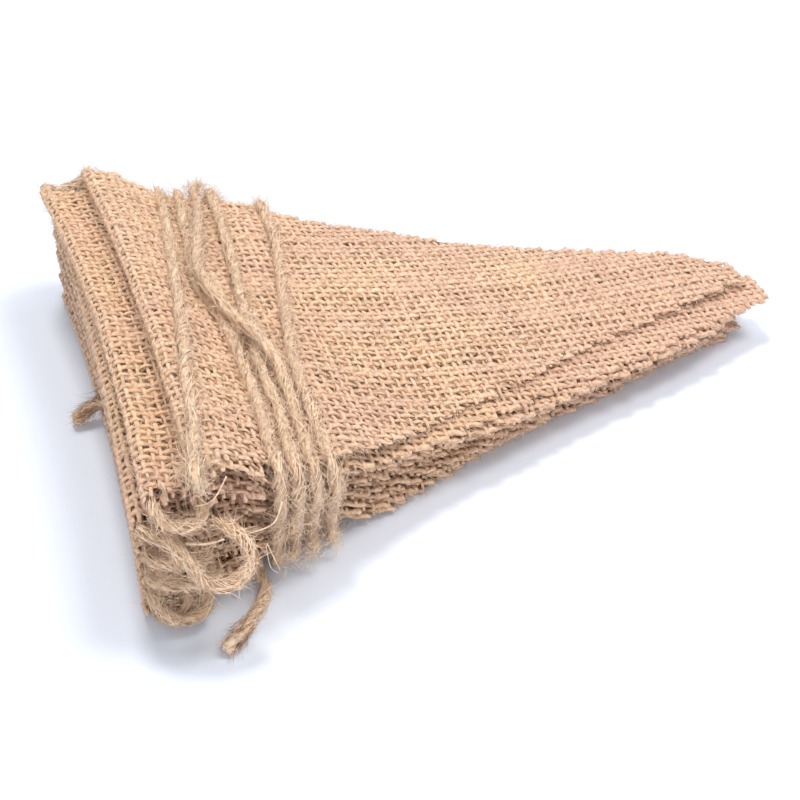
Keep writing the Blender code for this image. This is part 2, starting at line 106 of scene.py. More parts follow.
# One row for each pennant, lowest first, as in the part's source but for a little more tilt.
Pennant = namedtuple("Pennant", "fold_x mid_y tip_y tilt bow length near_blunt far_blunt")
ROWS = (
    (-91.0, 9.0, 0.5, 1.7, 2.6, 184.0, 0.0, 1.0),
    (-79.5, 11.5, 3.5, 0.5, 0.0, 178.0, 1.2, 0.0),
    (-91.0, 9.0, 0.0, 1.7, 2.6, 185.0, 0.0, 2.0),
    (-78.8, 10.5, 4.5, -0.3, 0.3, 176.5, 0.8, 0.5),
    (-91.0, 8.5, -0.5, 1.7, 2.4, 184.0, 0.0, 0.0),
    (-79.5, 9.5, 4.0, 0.5, 0.0, 178.5, 0.0, 1.0),
    (-91.0, 7.5, -1.5, 1.8, 2.2, 183.0, 0.5, 0.5),
    (-78.5, 8.0, 4.5, -0.3, 0.5, 177.5, 0.2, 1.0),
    (-91.2, 6.5, -3.0, 2.2, 2.0, 185.0, 0.5, 0.0),
    (-78.8, 5.0, -2.0, 0.8, 0.8, 184.0, 2.5, 2.0),
    (-91.0, 4.5, 1.0, -0.5, 3.2, 183.5, 0.5, 1.0),
    (-79.2, 5.0, 4.0, 0.3, 2.2, 183.0, 0.0, 4.0),
)
PENNANTS = [Pennant(*row) for row in ROWS]
TOP = len(PENNANTS) - 1

# How far some near edges lie inside (or, below 0, outside) their straight cut, at places along x.
EDGE_X = (-46.0, -32.0, -12.0, 0.0, 30.0, 75.0, 99.0)
NEAR_IN = {
    0: (0.0, -3.2, -0.2, 1.4, 1.4, 0.8, -1.6),
    1: (0.0, -2.8, -0.8, 0.5, 0.5, 0.1, -1.8),
    2: (0.0, -2.6, -1.4, -1.0, 0.3, 0.1, -1.8),
    3: (0.0, -1.2, -1.2, -0.8, 0.2, 0.1, -1.6),
    8: (0.0, 0.0, -2.2, -3.4, -3.6, -3.8, -2.0),
    9: (0.0, 0.0, 2.4, 3.8, 4.0, 2.6, 0.6),
    10: (0.0, 0.0, 3.8, 6.0, 9.0, 7.0, 4.0),
    11: (0.0, 0.0, 3.0, 4.8, 7.4, 5.4, 1.5),
}
# How far two far edges lie outside it, near their tips.
FAR_X = (60.0, 75.0, 85.0, 95.0, 106.0)
FAR_OUT = {9: (0.0, 0.4, 1.4, 5.6, 6.5), 11: (0.0, 0.9, 2.0, 2.2, 1.0)}
TIP_IN = {9: 1.5, 11: 5.0}  # how much shorter two tips lie, frayed and cut back
HEM_IN, FOLD_OVER = {0: 4.0, 1: 1.0, 2: 2.5, 4: 1.0}, 8.0  # near ends of the lowest folds, shorter by this
PRESSED_PITCH = 0.95  # between the upper pennants where they rest on one another at the near edge
PRESSED = {10: 1, 11: 2}
PRESSED_FROM, PRESSED_OVER, PRESSED_SHARE = -38.0, 30.0, 0.6
ACROSS = (-1.0, -0.68, -0.34, 0.0, 0.34, 0.68, 1.0)  # points of the twine in a hem, as shares of its half


def in_frame(points):
    """Millimetres of the tables as metres of the frame."""
    return (np.asarray(points, float) - (*CENTRE, 0.0)) * MM


def row_value(name, x):
    """A column of the profile at x, on a smooth curve that never overshoots its rows."""
    at = np.array([row[0] for row in PROFILE])
    column = np.array([row[PROFILE_COLUMNS.index(name)] for row in PROFILE])
    slopes = np.diff(column) / np.diff(at)
    product, total = slopes[:-1] * slopes[1:], slopes[:-1] + slopes[1:]
    tangents = np.zeros(len(at))
    tangents[1:-1] = np.where(product > 0, 2 * product / np.where(total == 0, 1, total), 0)
    i = np.clip(np.searchsorted(at, x, side="right") - 1, 0, len(at) - 2)
    width = at[i + 1] - at[i]
    t = np.clip((x - at[i]) / width, 0, 1)
    bend = width * (tangents[i] * (t - 2 * t**2 + t**3) + tangents[i + 1] * (t**3 - t**2))
    return column[i] + (column[i + 1] - column[i]) * (3 * t**2 - 2 * t**3) + bend


def ease(t):
    """0 below 0, 1 above 1, and smooth between."""
    t = np.clip(t, 0, 1)
    return t * t * (3 - 2 * t)


def half_width(k, along, side):
    """Half of pennant k's width on its near (-1) or far (+1) side, at a distance from its fold."""
    length = PENNANTS[k].length
    blunt = PENNANTS[k].near_blunt if side < 0 else PENNANTS[k].far_blunt
    line = HALF_AT_FOLD + (HALF_AT_TIP - HALF_AT_FOLD) * along / length
    turn = np.minimum(along / (length - BLUNT_AT), (length - along) / BLUNT_AT)
    line = line + blunt * np.maximum(0.0, turn)
    if side < 0 and k in NEAR_IN:
        line = line - np.interp(along + PENNANTS[k].fold_x, EDGE_X, NEAR_IN[k])
    if side > 0 and k in FAR_OUT:
        line = line + np.interp(along + PENNANTS[k].fold_x, FAR_X, FAR_OUT[k])
    return np.maximum(line, HALF_AT_TIP / 2)


def middle(k, along):
    mid_y = PENNANTS[k].mid_y
    return mid_y + (PENNANTS[k].tip_y - mid_y) * along / PENNANTS[k].length


def stack_share(x, y):
    """Where a spot lies across the stack: -1 at its near edge and 1 at its far one."""
    half = np.maximum(STACK_HALF_LEAST, STACK_HALF - STACK_TAPER * (x - HEMS_X))
    return (y - STACK_MID_Y + STACK_TURN * (x - HEMS_X)) / half


def level(k, x, y):
    """Height of the middle of pennant k, with its lift, its crown and its own slight waves."""
    base, pitch, far_lift = (row_value(name, x) for name in PROFILE_COLUMNS[1:])
    loose, share = ease((x - LOOSE_FROM) / LOOSE_OVER), stack_share(x, y)
    crown = CROWN * loose * ease((CROWN_TO - x) / CROWN_OVER) * np.minimum(1, np.minimum(0, share) ** 2)
    lift = far_lift * k / TOP * ease((share - LIFT_FROM) / LIFT_OVER)
    wave = sum(np.sin(2 * math.pi * (x / along + y / across) + turn * k) for along, across, turn in WAVES)
    air = np.maximum(0, pitch - CLOTH - GAP)
    pressed = PRESSED.get(k, 0) * ease((x - PRESSED_FROM) / PRESSED_OVER) * ease(-share / PRESSED_SHARE)
    height = base + k * pitch * (1 - crown) + lift - pressed * np.maximum(0, pitch - PRESSED_PITCH)
    return height + min(1, k) * loose * WAVE * air * wave / len(WAVES)


def spot(k, along, across):
    """World x and y of a spot on pennant k, from its fold and its middle line."""
    share, side = along / PENNANTS[k].length, across / HALF_AT_FOLD
    x = PENNANTS[k].fold_x + along + PENNANTS[k].tilt * (1 - share) * side
    x = x + PENNANTS[k].bow * np.maximum(0, 1 - side * side) * (1 - share)
    return x, middle(k, along) + across


def hem_half(along):
    """Half of the space between the mids of a hem's two layers, past the twine's middle."""
    return LOOP_R + (DOUBLE - LOOP_R) * ease((along - TWINE_AT) / DRAPE)


def hem_rise(along):
    """How far the upper layer lies above its pennant's level."""
    return hem_half(along) * (1 - ease((along - HEM_DEPTH) / (HEM_OVER - HEM_DEPTH)))


SECTION_STEP, TURN_POINTS = 0.4, 16


def section(k):
    """Pennant k's section from the flap's free edge round the twine to the tip: lengths, alongs, rises."""
    lower = np.arange(HEM_DEPTH, TWINE_AT, -SECTION_STEP)
    turn = np.linspace(-math.pi / 2, math.pi / 2, TURN_POINTS)
    upper = np.arange(TWINE_AT, PENNANTS[k].length + SECTION_STEP / 2, SECTION_STEP)[1:]
    along = np.concatenate([lower, TWINE_AT - LOOP_R * np.cos(turn), upper])
    rise = np.concatenate([-hem_half(lower), LOOP_R * np.sin(turn), hem_rise(upper)])
    length = np.concatenate([[0], np.cumsum(np.hypot(np.diff(along), np.diff(rise)))])
    return length, along, rise


SECTIONS = [section(k) for k in range(TOP + 1)]
FOLD_AT = HEM_DEPTH - TWINE_AT + math.pi / 2 * LOOP_R + 1.0  # length from the free edge to the fold's front


def tip_at(k):
    """Length along pennant k's section at which its tip is cut."""
    return SECTIONS[k][0][-1] - TIP_IN.get(k, 0)


def cloth_point(k, s, across):
    """Points of pennant k's middle surface, at lengths s along its section."""
    lengths, alongs, rises = SECTIONS[k]
    along = np.interp(s, lengths, alongs)
    x, y = spot(k, along, across)
    return np.stack([x, y, level(k, x, y) + np.interp(s, lengths, rises)], -1)


def unit(v):
    return v / np.maximum(1e-9, np.linalg.norm(v, axis=-1, keepdims=True))


def cloth_normal(k, s, across, step=0.5):
    """The outer side's direction: up on the body, down under the flap."""
    lengthwise = cloth_point(k, s + step, across) - cloth_point(k, s - step, across)
    crosswise = cloth_point(k, s, across + step) - cloth_point(k, s, across - step)
    return unit(np.cross(lengthwise, crosswise))


def cut_edges(k, s):
    """How far pennant k reaches from its middle line at lengths s, on its near side and on its far one."""
    return [edge_room(k, s, np.full(len(s), side * 0.001)) for side in (-1, 1)]


def edge_room(k, s, across):
    """How far inside the cut outline a spot of pennant k lies, across its width; negative outside."""
    lengths, alongs, _ = SECTIONS[k]
    along = np.interp(s, lengths, alongs)
    body = np.where(across < 0, half_width(k, along, -1), half_width(k, along, 1))
    stray = EDGE_WAVE * np.sin(along / EDGE_PERIOD + EDGE_TURN * k + np.sign(across))
    body = body + np.where(along > HEM_DEPTH, stray, 0)
    flap = HALF_AT_FOLD + (HALF_AT_FLAP - HALF_AT_FOLD) * along / HEM_DEPTH
    half = np.where(s < FOLD_AT, flap, body)
    half = half - np.where(across < 0, HEM_IN.get(k, 0) * ease(1 - along / FOLD_OVER), 0)
    return half - np.abs(across)


END_OUT, END_SIZE, END_LENGTH = 0.08, 0.06, 0.1  # of the small ring that closes a cut strand


class Strands:
    """Gathers tubes and ribbons of points in millimetres, and makes one mesh of them."""

    def __init__(self):
        self.points, self.faces, self.coords, self.tints, self.count = [], [], [], [], 0

    def add(self, rings, lengths, tint, closed=True):
        """Rings of points, the length at each ring, and one tint or one for each ring."""
        rows, sides = rings.shape[:2]
        first = np.arange(sides if closed else sides - 1)
        after = (first + 1) % sides
        start = self.count + sides * np.arange(rows - 1)[:, None]
        corners = [start + first, start + after, start + after + sides, start + first + sides]
        self.faces.append(np.stack(corners, -1).reshape(-1, 4))
        low, high = np.broadcast_arrays(lengths[:-1, None], lengths[1:, None])
        ones = np.ones(len(first))
        u = np.stack([low * ones, low * ones, high * ones, high * ones], -1)
        turn = np.stack([first, first + 1, first + 1, first], -1) / len(first)
        v = np.broadcast_to(turn, u.shape)
        self.coords.append(np.stack([u, v], -1).reshape(-1, 2))
        self.points.append(rings.reshape(-1, 3))
        self.tints.append(np.repeat(np.broadcast_to(tint, rows), sides))
        self.count += rows * sides

    def add_cut(self, rings, lengths, tint):
        """The same with a small ring beyond each end, which closes a cut strand."""
        first, last = rings[0].mean(0), rings[-1].mean(0)
        before = first + (first - rings[1].mean(0)) * END_OUT + (rings[0] - first) * END_SIZE
        after = last + (last - rings[-2].mean(0)) * END_OUT + (rings[-1] - last) * END_SIZE
        lengths = np.concatenate([[lengths[0] - END_LENGTH], lengths, [lengths[-1] + END_LENGTH]])
        self.add(np.concatenate([before[None], rings, after[None]]), lengths, tint)

    def make(self, name, finish):
        """The mesh object of all that was gathered."""
        points, faces = in_frame(np.concatenate(self.points)), np.concatenate(self.faces)
        mesh = bpy.data.meshes.new(name)
        mesh.vertices.add(len(points))
        mesh.vertices.foreach_set("co", points.astype(np.float32).ravel())
        mesh.loops.add(faces.size)
        mesh.loops.foreach_set("vertex_index", faces.astype(np.int32).ravel())
        mesh.polygons.add(len(faces))
        mesh.polygons.foreach_set("loop_start", np.arange(0, faces.size, 4, dtype=np.int32))
        mesh.update(calc_edges=True)
        mesh.uv_layers.new(name="strand").data.foreach_set(
            "uv", np.concatenate(self.coords).astype(np.float32).ravel()
        )
        tint = mesh.attributes.new("tint", "FLOAT", "POINT")
        tint.data.foreach_set("value", np.concatenate(self.tints).astype(np.float32))
        mesh.polygons.foreach_set("use_smooth", np.ones(len(faces), bool))
        made = bpy.data.objects.new(name, mesh)
        bpy.context.scene.collection.objects.link(made)
        mesh.materials.append(finish)
        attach(made, BODY)
        return made


def lengths_of(path):
    """The length along a path at each of its points."""
    return np.concatenate([[0], np.cumsum(np.linalg.norm(np.diff(path, axis=0), axis=1))])


def directions(path):
    return unit(np.gradient(path, axis=0))


def oval_rings(path, normals, widths, heights, sides):
    """Rings round a path, as wide across the normals and as high along them as the sizes say."""
    along = directions(path)
    side = unit(np.cross(normals, along))
    up = np.cross(along, side)
    angle = 2 * math.pi * (np.arange(sides) + 0.5) / sides
    wide = side[:, None] * (np.cos(angle)[None, :, None] * widths[:, None, None] / 2)
    high = up[:, None] * (np.sin(angle)[None, :, None] * heights[:, None, None] / 2)
    return path[:, None] + wide + high


def runs(inside):
    """First and last index of each stretch of True with at least three points."""
    edges = np.flatnonzero(np.diff(np.concatenate([[0], inside.astype(int), [0]])))
    return [(a, b) for a, b in edges.reshape(-1, 2) if b - a >= 3]


# Materials

# Places in a noise, and how bright a strand is there.
STREAKS = ((0.30, 0.62), (0.52, 1.0), (0.75, 1.12))
FLECKS = ((0.30, 0.66), (0.50, 1.0), (0.70, 1.10))
PATCHES = ((0.40, 0.0), (0.66, 0.80))  # the same, and the share of the patches' colour
HOLES = ((0.33, 0.0), (0.57, 1.0))  # the same, and the share of the darker painted shade
PATCH_SCALE, FLECK_SCALE, HOLE_SCALE = 42.0, 900.0, 520.0
RAISED = 0.0004  # how deep the streaks are, in metres
SHEEN, SHEEN_ROUGHNESS = 0.25, 0.6
DULL_FROM, DULL_TO, DULLER = -0.02, 0.07, 0.22  # more of the patches' colour towards the tips and the far side: partly the cloth's pinker tone at the tips, partly painted shade that dims both


def new_material(name, roughness):
    """A material, its node tree and its shader."""
    made = bpy.data.materials.new(name)
    made.use_nodes = True
    tree = made.node_tree
    shader = tree.nodes["Principled BSDF"]
    shader.inputs["Roughness"].default_value = roughness
    shader.inputs["Specular IOR Level"].default_value = 0.15
    return made, tree, shader


def add_node(tree, kind, inputs=(), **settings):
    """A node with its settings, and inputs that are values or another node's output."""
    node = tree.nodes.new(kind)
    for name, value in settings.items():
        setattr(node, name, value)
    for name, value in dict(inputs).items():
        if isinstance(value, bpy.types.NodeSocket):
            tree.links.new(value, node.inputs[name])
        else:
            node.inputs[name].default_value = value
    return node


def mixed(tree, share, first, second, blend="MIX"):
    """A colour between two, by a share that is a value or an output."""
    node = tree.nodes.new("ShaderNodeMix")
    node.data_type, node.blend_type = "RGBA", blend
    for i, value in ((0, share), (6, first), (7, second)):
        if isinstance(value, bpy.types.NodeSocket):
            tree.links.new(value, node.inputs[i])
        else:
            node.inputs[i].default_value = value
    return node.outputs[2]


def ramp(tree, value, stops):
    """A colour ramp over a value. Stops are (place, grey)."""
    node = add_node(tree, "ShaderNodeValToRGB", {"Fac": value})
    while len(node.color_ramp.elements) < len(stops):
        node.color_ramp.elements.new(1.0)
    for element, (place, grey) in zip(node.color_ramp.elements, stops):
        element.position = place
        element.color = (grey, grey, grey, 1)
    return node.outputs["Color"]


def noise(tree, vector, scale, detail, roughness=0.5):
    inputs = {"Vector": vector, "Scale": scale, "Detail": detail, "Roughness": roughness}
    return add_node(tree, "ShaderNodeTexNoise", inputs).outputs["Fac"]


def strand_material(name, pale, deep, patch, streak_scale, bump):
    """Fibrous strands: streaks along each, flecks, a tint for each, and patches of another colour, more of
    them towards the tips and the far side, partly as painted shade.
    """
    made, tree, shader = new_material(name, 0.92)
    strand = add_node(tree, "ShaderNodeUVMap", uv_map="strand").outputs["UV"]
    place = add_node(tree, "ShaderNodeTexCoord").outputs["Object"]
    stretched = add_node(tree, "ShaderNodeMapping", {"Vector": strand, "Scale": streak_scale})
    streaks = noise(tree, stretched.outputs[0], 1.0, 4.0, 0.65)
    patches = noise(tree, place, PATCH_SCALE, 3.0)
    flecks = noise(tree, place, FLECK_SCALE, 3.0)
    tint = add_node(tree, "ShaderNodeAttribute", attribute_name="tint").outputs["Fac"]
    colour = mixed(tree, tint, deep, pale)
    # A gradient of patch colour over x plus y, partly painted shade for the dimmer far side and tips.
    ways = add_node(tree, "ShaderNodeSeparateXYZ", {"Vector": place}).outputs
    outward = add_node(tree, "ShaderNodeMath", {0: ways["X"], 1: ways["Y"]}).outputs["Value"]
    limits = {"Value": outward, "From Min": DULL_FROM, "From Max": DULL_TO, "To Max": DULLER}
    duller = add_node(tree, "ShaderNodeMapRange", limits).outputs["Result"]
    share = add_node(tree, "ShaderNodeMath", {0: patches, 1: duller}).outputs["Value"]
    colour = mixed(tree, ramp(tree, share, PATCHES), colour, patch)
    for shade in [ramp(tree, streaks, STREAKS), ramp(tree, flecks, FLECKS)]:
        colour = mixed(tree, 1.0, colour, shade, "MULTIPLY")
    tree.links.new(colour, shader.inputs["Base Color"])
    raised = add_node(tree, "ShaderNodeBump", {"Height": streaks, "Strength": bump, "Distance": RAISED})
    tree.links.new(raised.outputs["Normal"], shader.inputs["Normal"])
    shader.inputs["Sheen Weight"].default_value = SHEEN
    shader.inputs["Sheen Roughness"].default_value = SHEEN_ROUGHNESS
    return made


def painted_shade_material(name, colour, deep_painted_shade):
    """Painted shade on the sheet seen through the cloth's holes: the given colour where fibres half close
    them, a darker painted shade where they are deep.
    """
    made, tree, shader = new_material(name, 1.0)
    place = add_node(tree, "ShaderNodeTexCoord").outputs["Object"]
    share = ramp(tree, noise(tree, place, HOLE_SCALE, 4.0, 0.75), HOLES)
    tree.links.new(mixed(tree, share, colour, deep_painted_shade), shader.inputs["Base Color"])
    return made


# The woven cloth

YARN_SIDES = 5
LOWER_SIDES = 4
NEAR_MARGIN, FAR_MARGIN = 6.5, 4.5  # how far in from their cut edges the hidden pennants' yarns are laid
WIDE_MARGIN = {8: 9.0, 9: 21.0, 10: 12.0}  # the same at the near edges that the top one leaves in sight
SEEN_TIP = {9: 45.0}  # how much of a hidden pennant's tip shows
HEM_UNDER, HEM_OUTER, HEM_INNER = 7.0, 8.0, 3.5  # how far from a hem's fold its yarns are laid
SECOND_HEM = 17.0
FLAP_MARGIN = 7.0
STUB_LEAST, STUB_MOST = -0.6, 0.5  # how far a cut yarn ends past the edge
HEM_STUB_LEAST, HEM_STUB = -0.4, 2.6  # the same for those cut at the hems' near mouths
SLANT = 0.4  # the share of it for the yarns that the slanting edges cut lengthwise
LONG_STUB, LONG_SHARE = 2.4, 0.03  # a few pulled yarns reach further
FULL = 1.55  # how much thicker the lower pennants' yarns stand, pressed one on another
UNEVEN = 0.085  # how far a yarn lies off its place, as a share of the pitch
KINK = 0.07  # how unevenly it lies from one crossing to the next
STRAY_WAVES = ((19, 31, 53, 90), (17, 29, 47, 80))  # over what lengths the yarns stray, each way
YARN_SIZES, SLOW_SWELL, SWELL = (0.8, 1.15), 0.15, 0.10  # from yarn to yarn, and along each
CLOSER = 0.18  # how much wider the yarns are along the far side and towards the tip
CLOSE_ACROSS, CLOSE_FROM, CLOSE_OVER = 40, 80, 90
SPREAD = 0.15  # how much wider a yarn is where it lies on top than where it dips under
# The second pennant's yarns are thinner beside the top one's fold, so that more painted shade shows there as
# that fold's shadow.
FOLD_SHADOW_THINNING, FOLD_SHADOW_AT, FOLD_SHADOW_OVER = 0.26, FOLD_AT + 10.0, 2.8
# The second pennant's darker range is painted shade, for the cloth below the top one that faces away from
# the side light.
YARN_TINTS_AND_SHADE = {TOP: (0.15, 1.0), TOP - 1: (0.0, 0.4)}  # from 0, deep, to 1, pale
LOWER_TINTS = (0.0, 0.7)
FIRST_CROSS, FIRST_LONG, LAST_LONG = 0.8, 0.9, 1.0  # how far the outermost yarns are laid from the edges
FLAP_EDGE = 2.0  # how much of the flap's free edge shows
SHEET_IN, SHEET_LEAST, SHEET_STEP, SHEET_COLUMNS = 1.1, 0.3, 6.0, 21  # the thin sheet of painted shade inside the weave
SHEET_HEM_ROWS, SHEET_BODY_AT = 32, 36  # its closer rows round the hem, and where the wider ones begin


def field(seed, a, b, lengths, size):
    """A smooth uneven field over the cloth, from a few crossing waves."""
    rng = np.random.default_rng(seed)
    total = 0.0
    for length in lengths:
        turn, phase = rng.uniform(0, 2 * math.pi, 2)
        wave = (a * math.cos(turn) + b * math.sin(turn)) / length
        total = total + np.sin(2 * math.pi * wave + phase)
    return size * total / len(lengths)


def uneven_places(rng, low, high, pitch):
    """Places of yarns at about the pitch, none quite even."""
    places = np.arange(low, high, pitch)
    return places + rng.normal(0, UNEVEN * pitch, len(places))


def shown(k, s, across):
    """Where a pennant's yarns are laid: all of the top one, and what shows of the others."""
    room, past_fold = edge_room(k, s, across), s - FOLD_AT
    if k == TOP:
        return (past_fold > -HEM_UNDER) | (room < FLAP_MARGIN) | (s < FLAP_EDGE)
    near = WIDE_MARGIN.get(k, NEAR_MARGIN)
    hem = SECOND_HEM if k == TOP - 1 else HEM_INNER if k % 2 else HEM_OUTER
    under = HEM_INNER if k % 2 else HEM_UNDER
    on_hem = (past_fold > -under) & (past_fold < hem)
    at_tip = s > tip_at(k) - SEEN_TIP.get(k, 0)
    near = np.where(past_fold > 0, near, FLAP_MARGIN)
    return on_hem | at_tip | (room < np.where(across < 0, near, FAR_MARGIN))


def wider(k, s, across, up):
    """How much wider pennant k's yarns are at a spot, as a share. up is 1 where a yarn lies on top."""
    far_side, to_tip = (across + CLOSE_ACROSS) / (2 * CLOSE_ACROSS), (s - CLOSE_FROM) / CLOSE_OVER
    more = CLOSER * (ease(far_side) + ease(to_tip)) + SPREAD * up
    # Thinner yarns beside the top one's fold, for a painted shadow there.
    if k == TOP - 1:
        more = more - FOLD_SHADOW_THINNING * np.exp(-(((s - FOLD_SHADOW_AT) / FOLD_SHADOW_OVER) ** 2))
    return more


def weave(k, cloth):
    """The yarns of pennant k: those that run across, then those that run from the fold to the tip."""
    rng = np.random.default_rng(500 + k)
    sides = YARN_SIDES if k == TOP else LOWER_SIDES
    ends = tip_at(k)
    pitches = (cloth.cross_pitch / MM, cloth.long_pitch / MM)
    cross_at = uneven_places(rng, FIRST_CROSS, ends, pitches[0])
    long_at = uneven_places(rng, -HALF_AT_FOLD + FIRST_LONG, HALF_AT_FOLD + LAST_LONG, pitches[1])
    full = FULL if k < TOP - 1 else 1
    height, lift = cloth.yarn_height * full / MM, cloth.crimp / MM
    made = []
    for kind in (0, 1):
        strands = Strands()
        fixed, other = (cross_at, long_at) if kind == 0 else (long_at, cross_at)
        width = (cloth.cross_width if kind == 0 else cloth.long_width) / MM
        count = len(other)
        steps = np.arange(-0.5, count, 1 / cloth.steps)
        running = np.interp(steps, np.arange(count), other)
        running = running + (steps - np.clip(steps, 0, count - 1)) * pitches[1 - kind]
        swing = np.cos(math.pi * steps)
        for i, place in enumerate(fixed):
            straight = np.full(len(running), place)
            a, b = (straight, running) if kind == 0 else (running, straight)
            s = a + field(31 * k + 1, a, b, STRAY_WAVES[0], cloth.stray / MM)
            across = b + field(31 * k + 2, a, b, STRAY_WAVES[1], cloth.stray / MM)
            s, across = (v + rng.normal(0, KINK, len(running)) for v in (s, across))
            stub = rng.uniform(STUB_LEAST, STUB_MOST, 2)
            if rng.random() < LONG_SHARE:
                stub[rng.integers(2)] = LONG_STUB * rng.uniform(0.6, 1)
            stub = stub * (SLANT if kind else 1)
            if kind == 0 and place < FOLD_AT + HEM_DEPTH:
                stub[0] = rng.uniform(HEM_STUB_LEAST, HEM_STUB)
            past = np.where(running < np.mean(other), stub[0], stub[1])
            inside = (edge_room(k, s, across) > -past) & (s > -past) & (s < ends) & shown(k, s, across)
            own = np.sin(running / rng.uniform(3, 9) + rng.uniform(0, 6, 1))
            way = (1 if kind else -1) * (-1) ** i
            for first, last in runs(inside):
                part = slice(first, last)
                path = cloth_point(k, s[part], across[part])
                normal = cloth_normal(k, s[part], across[part])
                path = path + normal * (way * lift * swing[part])[:, None]
                thick = 1 + wider(k, s[part], across[part], way * swing[part]) + SLOW_SWELL * own[part]
                thick = thick + rng.normal(0, SWELL, last - first)
                base = rng.uniform(*YARN_SIZES)
                rings = oval_rings(path, normal, width * base * thick, height * np.sqrt(thick), sides)
                lengths = lengths_of(path) + rng.uniform(0, 900)
                strands.add_cut(rings, lengths, rng.uniform(*YARN_TINTS_AND_SHADE.get(k, LOWER_TINTS)))
        made.append(strands)
    return made


def painted_shade_sheet(k, strands):
    """A thin sheet of painted shade inside the weave, a little inside the cut edges, that shows through the
    holes.
    """
    hem_rows = np.linspace(1.0, 2 * FOLD_AT, SHEET_HEM_ROWS)
    rows = np.unique(np.concatenate([hem_rows, np.arange(SHEET_BODY_AT, tip_at(k) - 2, SHEET_STEP)]))
    shares = np.linspace(-1, 1, SHEET_COLUMNS)
    half = np.maximum(SHEET_LEAST, np.stack(cut_edges(k, rows), -1) - SHEET_IN)
    across = np.where(shares < 0, shares * half[:, :1], shares * half[:, 1:])
    s = np.broadcast_to(rows[:, None], across.shape)
    strands.add(cloth_point(k, s, across), rows, 0.5, closed=False)


# Twine routes, as in the part's source but for shifts of a millimetre or two

LINK_ROOM = 2.3  # from the hems' ends to the turn between two of them
LINK_SAG, LINK_SAG_LEAST = {9: 3.5, 10: 5.0}, 0.3  # how far the turn hangs down
# The turn's points: the share of the way up, how far down and how far out.
LINK = ((0.0, 0.2, 0.0), (0.25, 0.85, 1.2), (0.75, 1.0, 1.4), (1.0, 0.4, 0.2))
TURN_SPACING, RUN_SPACING, TAIL_SPACING = 5.0, 7.0, 8.0
MOUTH_OUT, MOUTH_LINE = 1.5, 0.5  # how far past a hem's mouth the twine runs straight
# The open loops that hang out at the near side, after the hem of the number.
LOOPS = {
    1: (
        *((-77.6, -63.5, 5.6), (-78.0, -66.0, 5.2), (-81.2, -67.7, 4.5)),
        *((-85.4, -68.1, 4.9), (-88.6, -66.8, 7.4)),
    ),
    7: (
        *((-73.6, -69.0, 31.6), (-69.8, -73.0, 29.0), (-69.4, -75.5, 24.0), (-73.6, -77.0, 20.8)),
        *((-79.0, -76.5, 21.8), (-82.4, -74.0, 26.6), (-85.8, -71.0, 30.6)),
    ),
}
LEFT_END = (
    (-96.0, 17.8, 2.5, 2.2),
    (-94.6, 18.0, 2.6, 2.2),
    (-92.8, 18.4, 3.6, 1.9),
    (-90.5, 18.4, 5.4, 1.4),
    (-87.5, 17.6, 6.15, TUCKED_R),
    (-84.2, 15.2, 6.15, TUCKED_R),
    (-82.0, 11.0, 6.15, TUCKED_R),
    (-81.4, 4.0, 6.15, TUCKED_R),
    (-81.5, -25.0, 6.15, TUCKED_R),
    (-81.9, -56.0, 6.15, TUCKED_R),
    (-82.3, -63.5, 6.0, TUCKED_R),
    (-84.6, -66.6, 4.6, TUCKED_R),
    (-87.6, -66.4, 3.0, TUCKED_R),
    (-88.2, -64.2, 2.4, 1.1),
)
# Each further round: x at the near edge, the points over the top with their lift, x at the far edge and at
# the far foot, and how far it stands out there.
TURNS = (
    (
        -58.6,
        (
            *((-57.0, -38, 0.0), (-56.6, -22, 0.0), (-56.2, -6, 0.0)),
            *((-58.0, 7, 0.0), (-59.2, 20, 0.0), (-55.8, 45, 0.0)),
        ),
        *(-53.2, -53.6, 0.0),
    ),
    (-54.2, ((-52.6, -38, 0.0), (-52.2, -22, 0.0), (-49.0, 10, 0.0), (-46.0, 38, 0.0)), -44.3, -48.6, 0.0),
    (
        -49.6,
        (
            *((-48.4, -38, 0.0), (-48.3, -23, 2.6), (-50.2, -14, 4.2), (-54.6, -4, 4.2), (-57.4, 7, 4.2)),
            *((-58.0, 18, 4.2), (-55.2, 33, 4.0), (-52.2, 46, 2.3), (-49.8, 57, 0.4)),
        ),
        *(-48.6, -43.4, 4.6),
    ),
    (-44.8, ((-44.2, -38, 0.0), (-43.2, -20, 0.0), (-39.6, 0, 0.0), (-32.6, 36, 0.0)), -31.0, -32.0, 0.0),
)
FIRST_FOOT = -59.3
UNDER_FEET = (-58.6, -53.6, -48.6, -43.4)
EDGE_ROOM = TWINE_R + 0.35
FOOT_IN = 1.3  # how much closer the strands lie to the near edges at their feet
CORNER, CORNER_R, CORNER_OUT, CORNER_UP = 3.5, 1.25, 0.9, 0.7
SNUG, SNUG_TO = 0.6, -50.0  # the first two strands lie closest on the far edge
TOP_FROM = {-1: 25.0, 1: 22.0}  # the height from which a side counts as the top's edge
BOTTOM_TO, BESIDE, SIDE_Y = 12.0, 9.0, 60.0
SIDE_SHARES = (0.9, 0.7, 0.45, 0.2, 0.04)
UNDER_SHARES = (0, 0.25, 0.5, 0.75, 1)
UNDER_IN = {1: 3.0, -1: 2.6}
PRESSED_IN, FAR_PRESSED, FLOOR_ROOM = 0.75, 0.45, 0.03
FIRST_RISE = ((-77.4, -70.4, 44.6), (-78.8, -72.6, 47.0), (-78.8, -70.4, 49.6))
FIRST_OVER = (
    (-77.4, -63.8, 0.0),
    (-75.2, -53.7, 0.0),
    (-71.9, -31.0, 0.0),
    (-67.4, -3.0, 0.0),
    (-62.4, 34.0, 0.0),
)
FIRST_FAR = -58.2
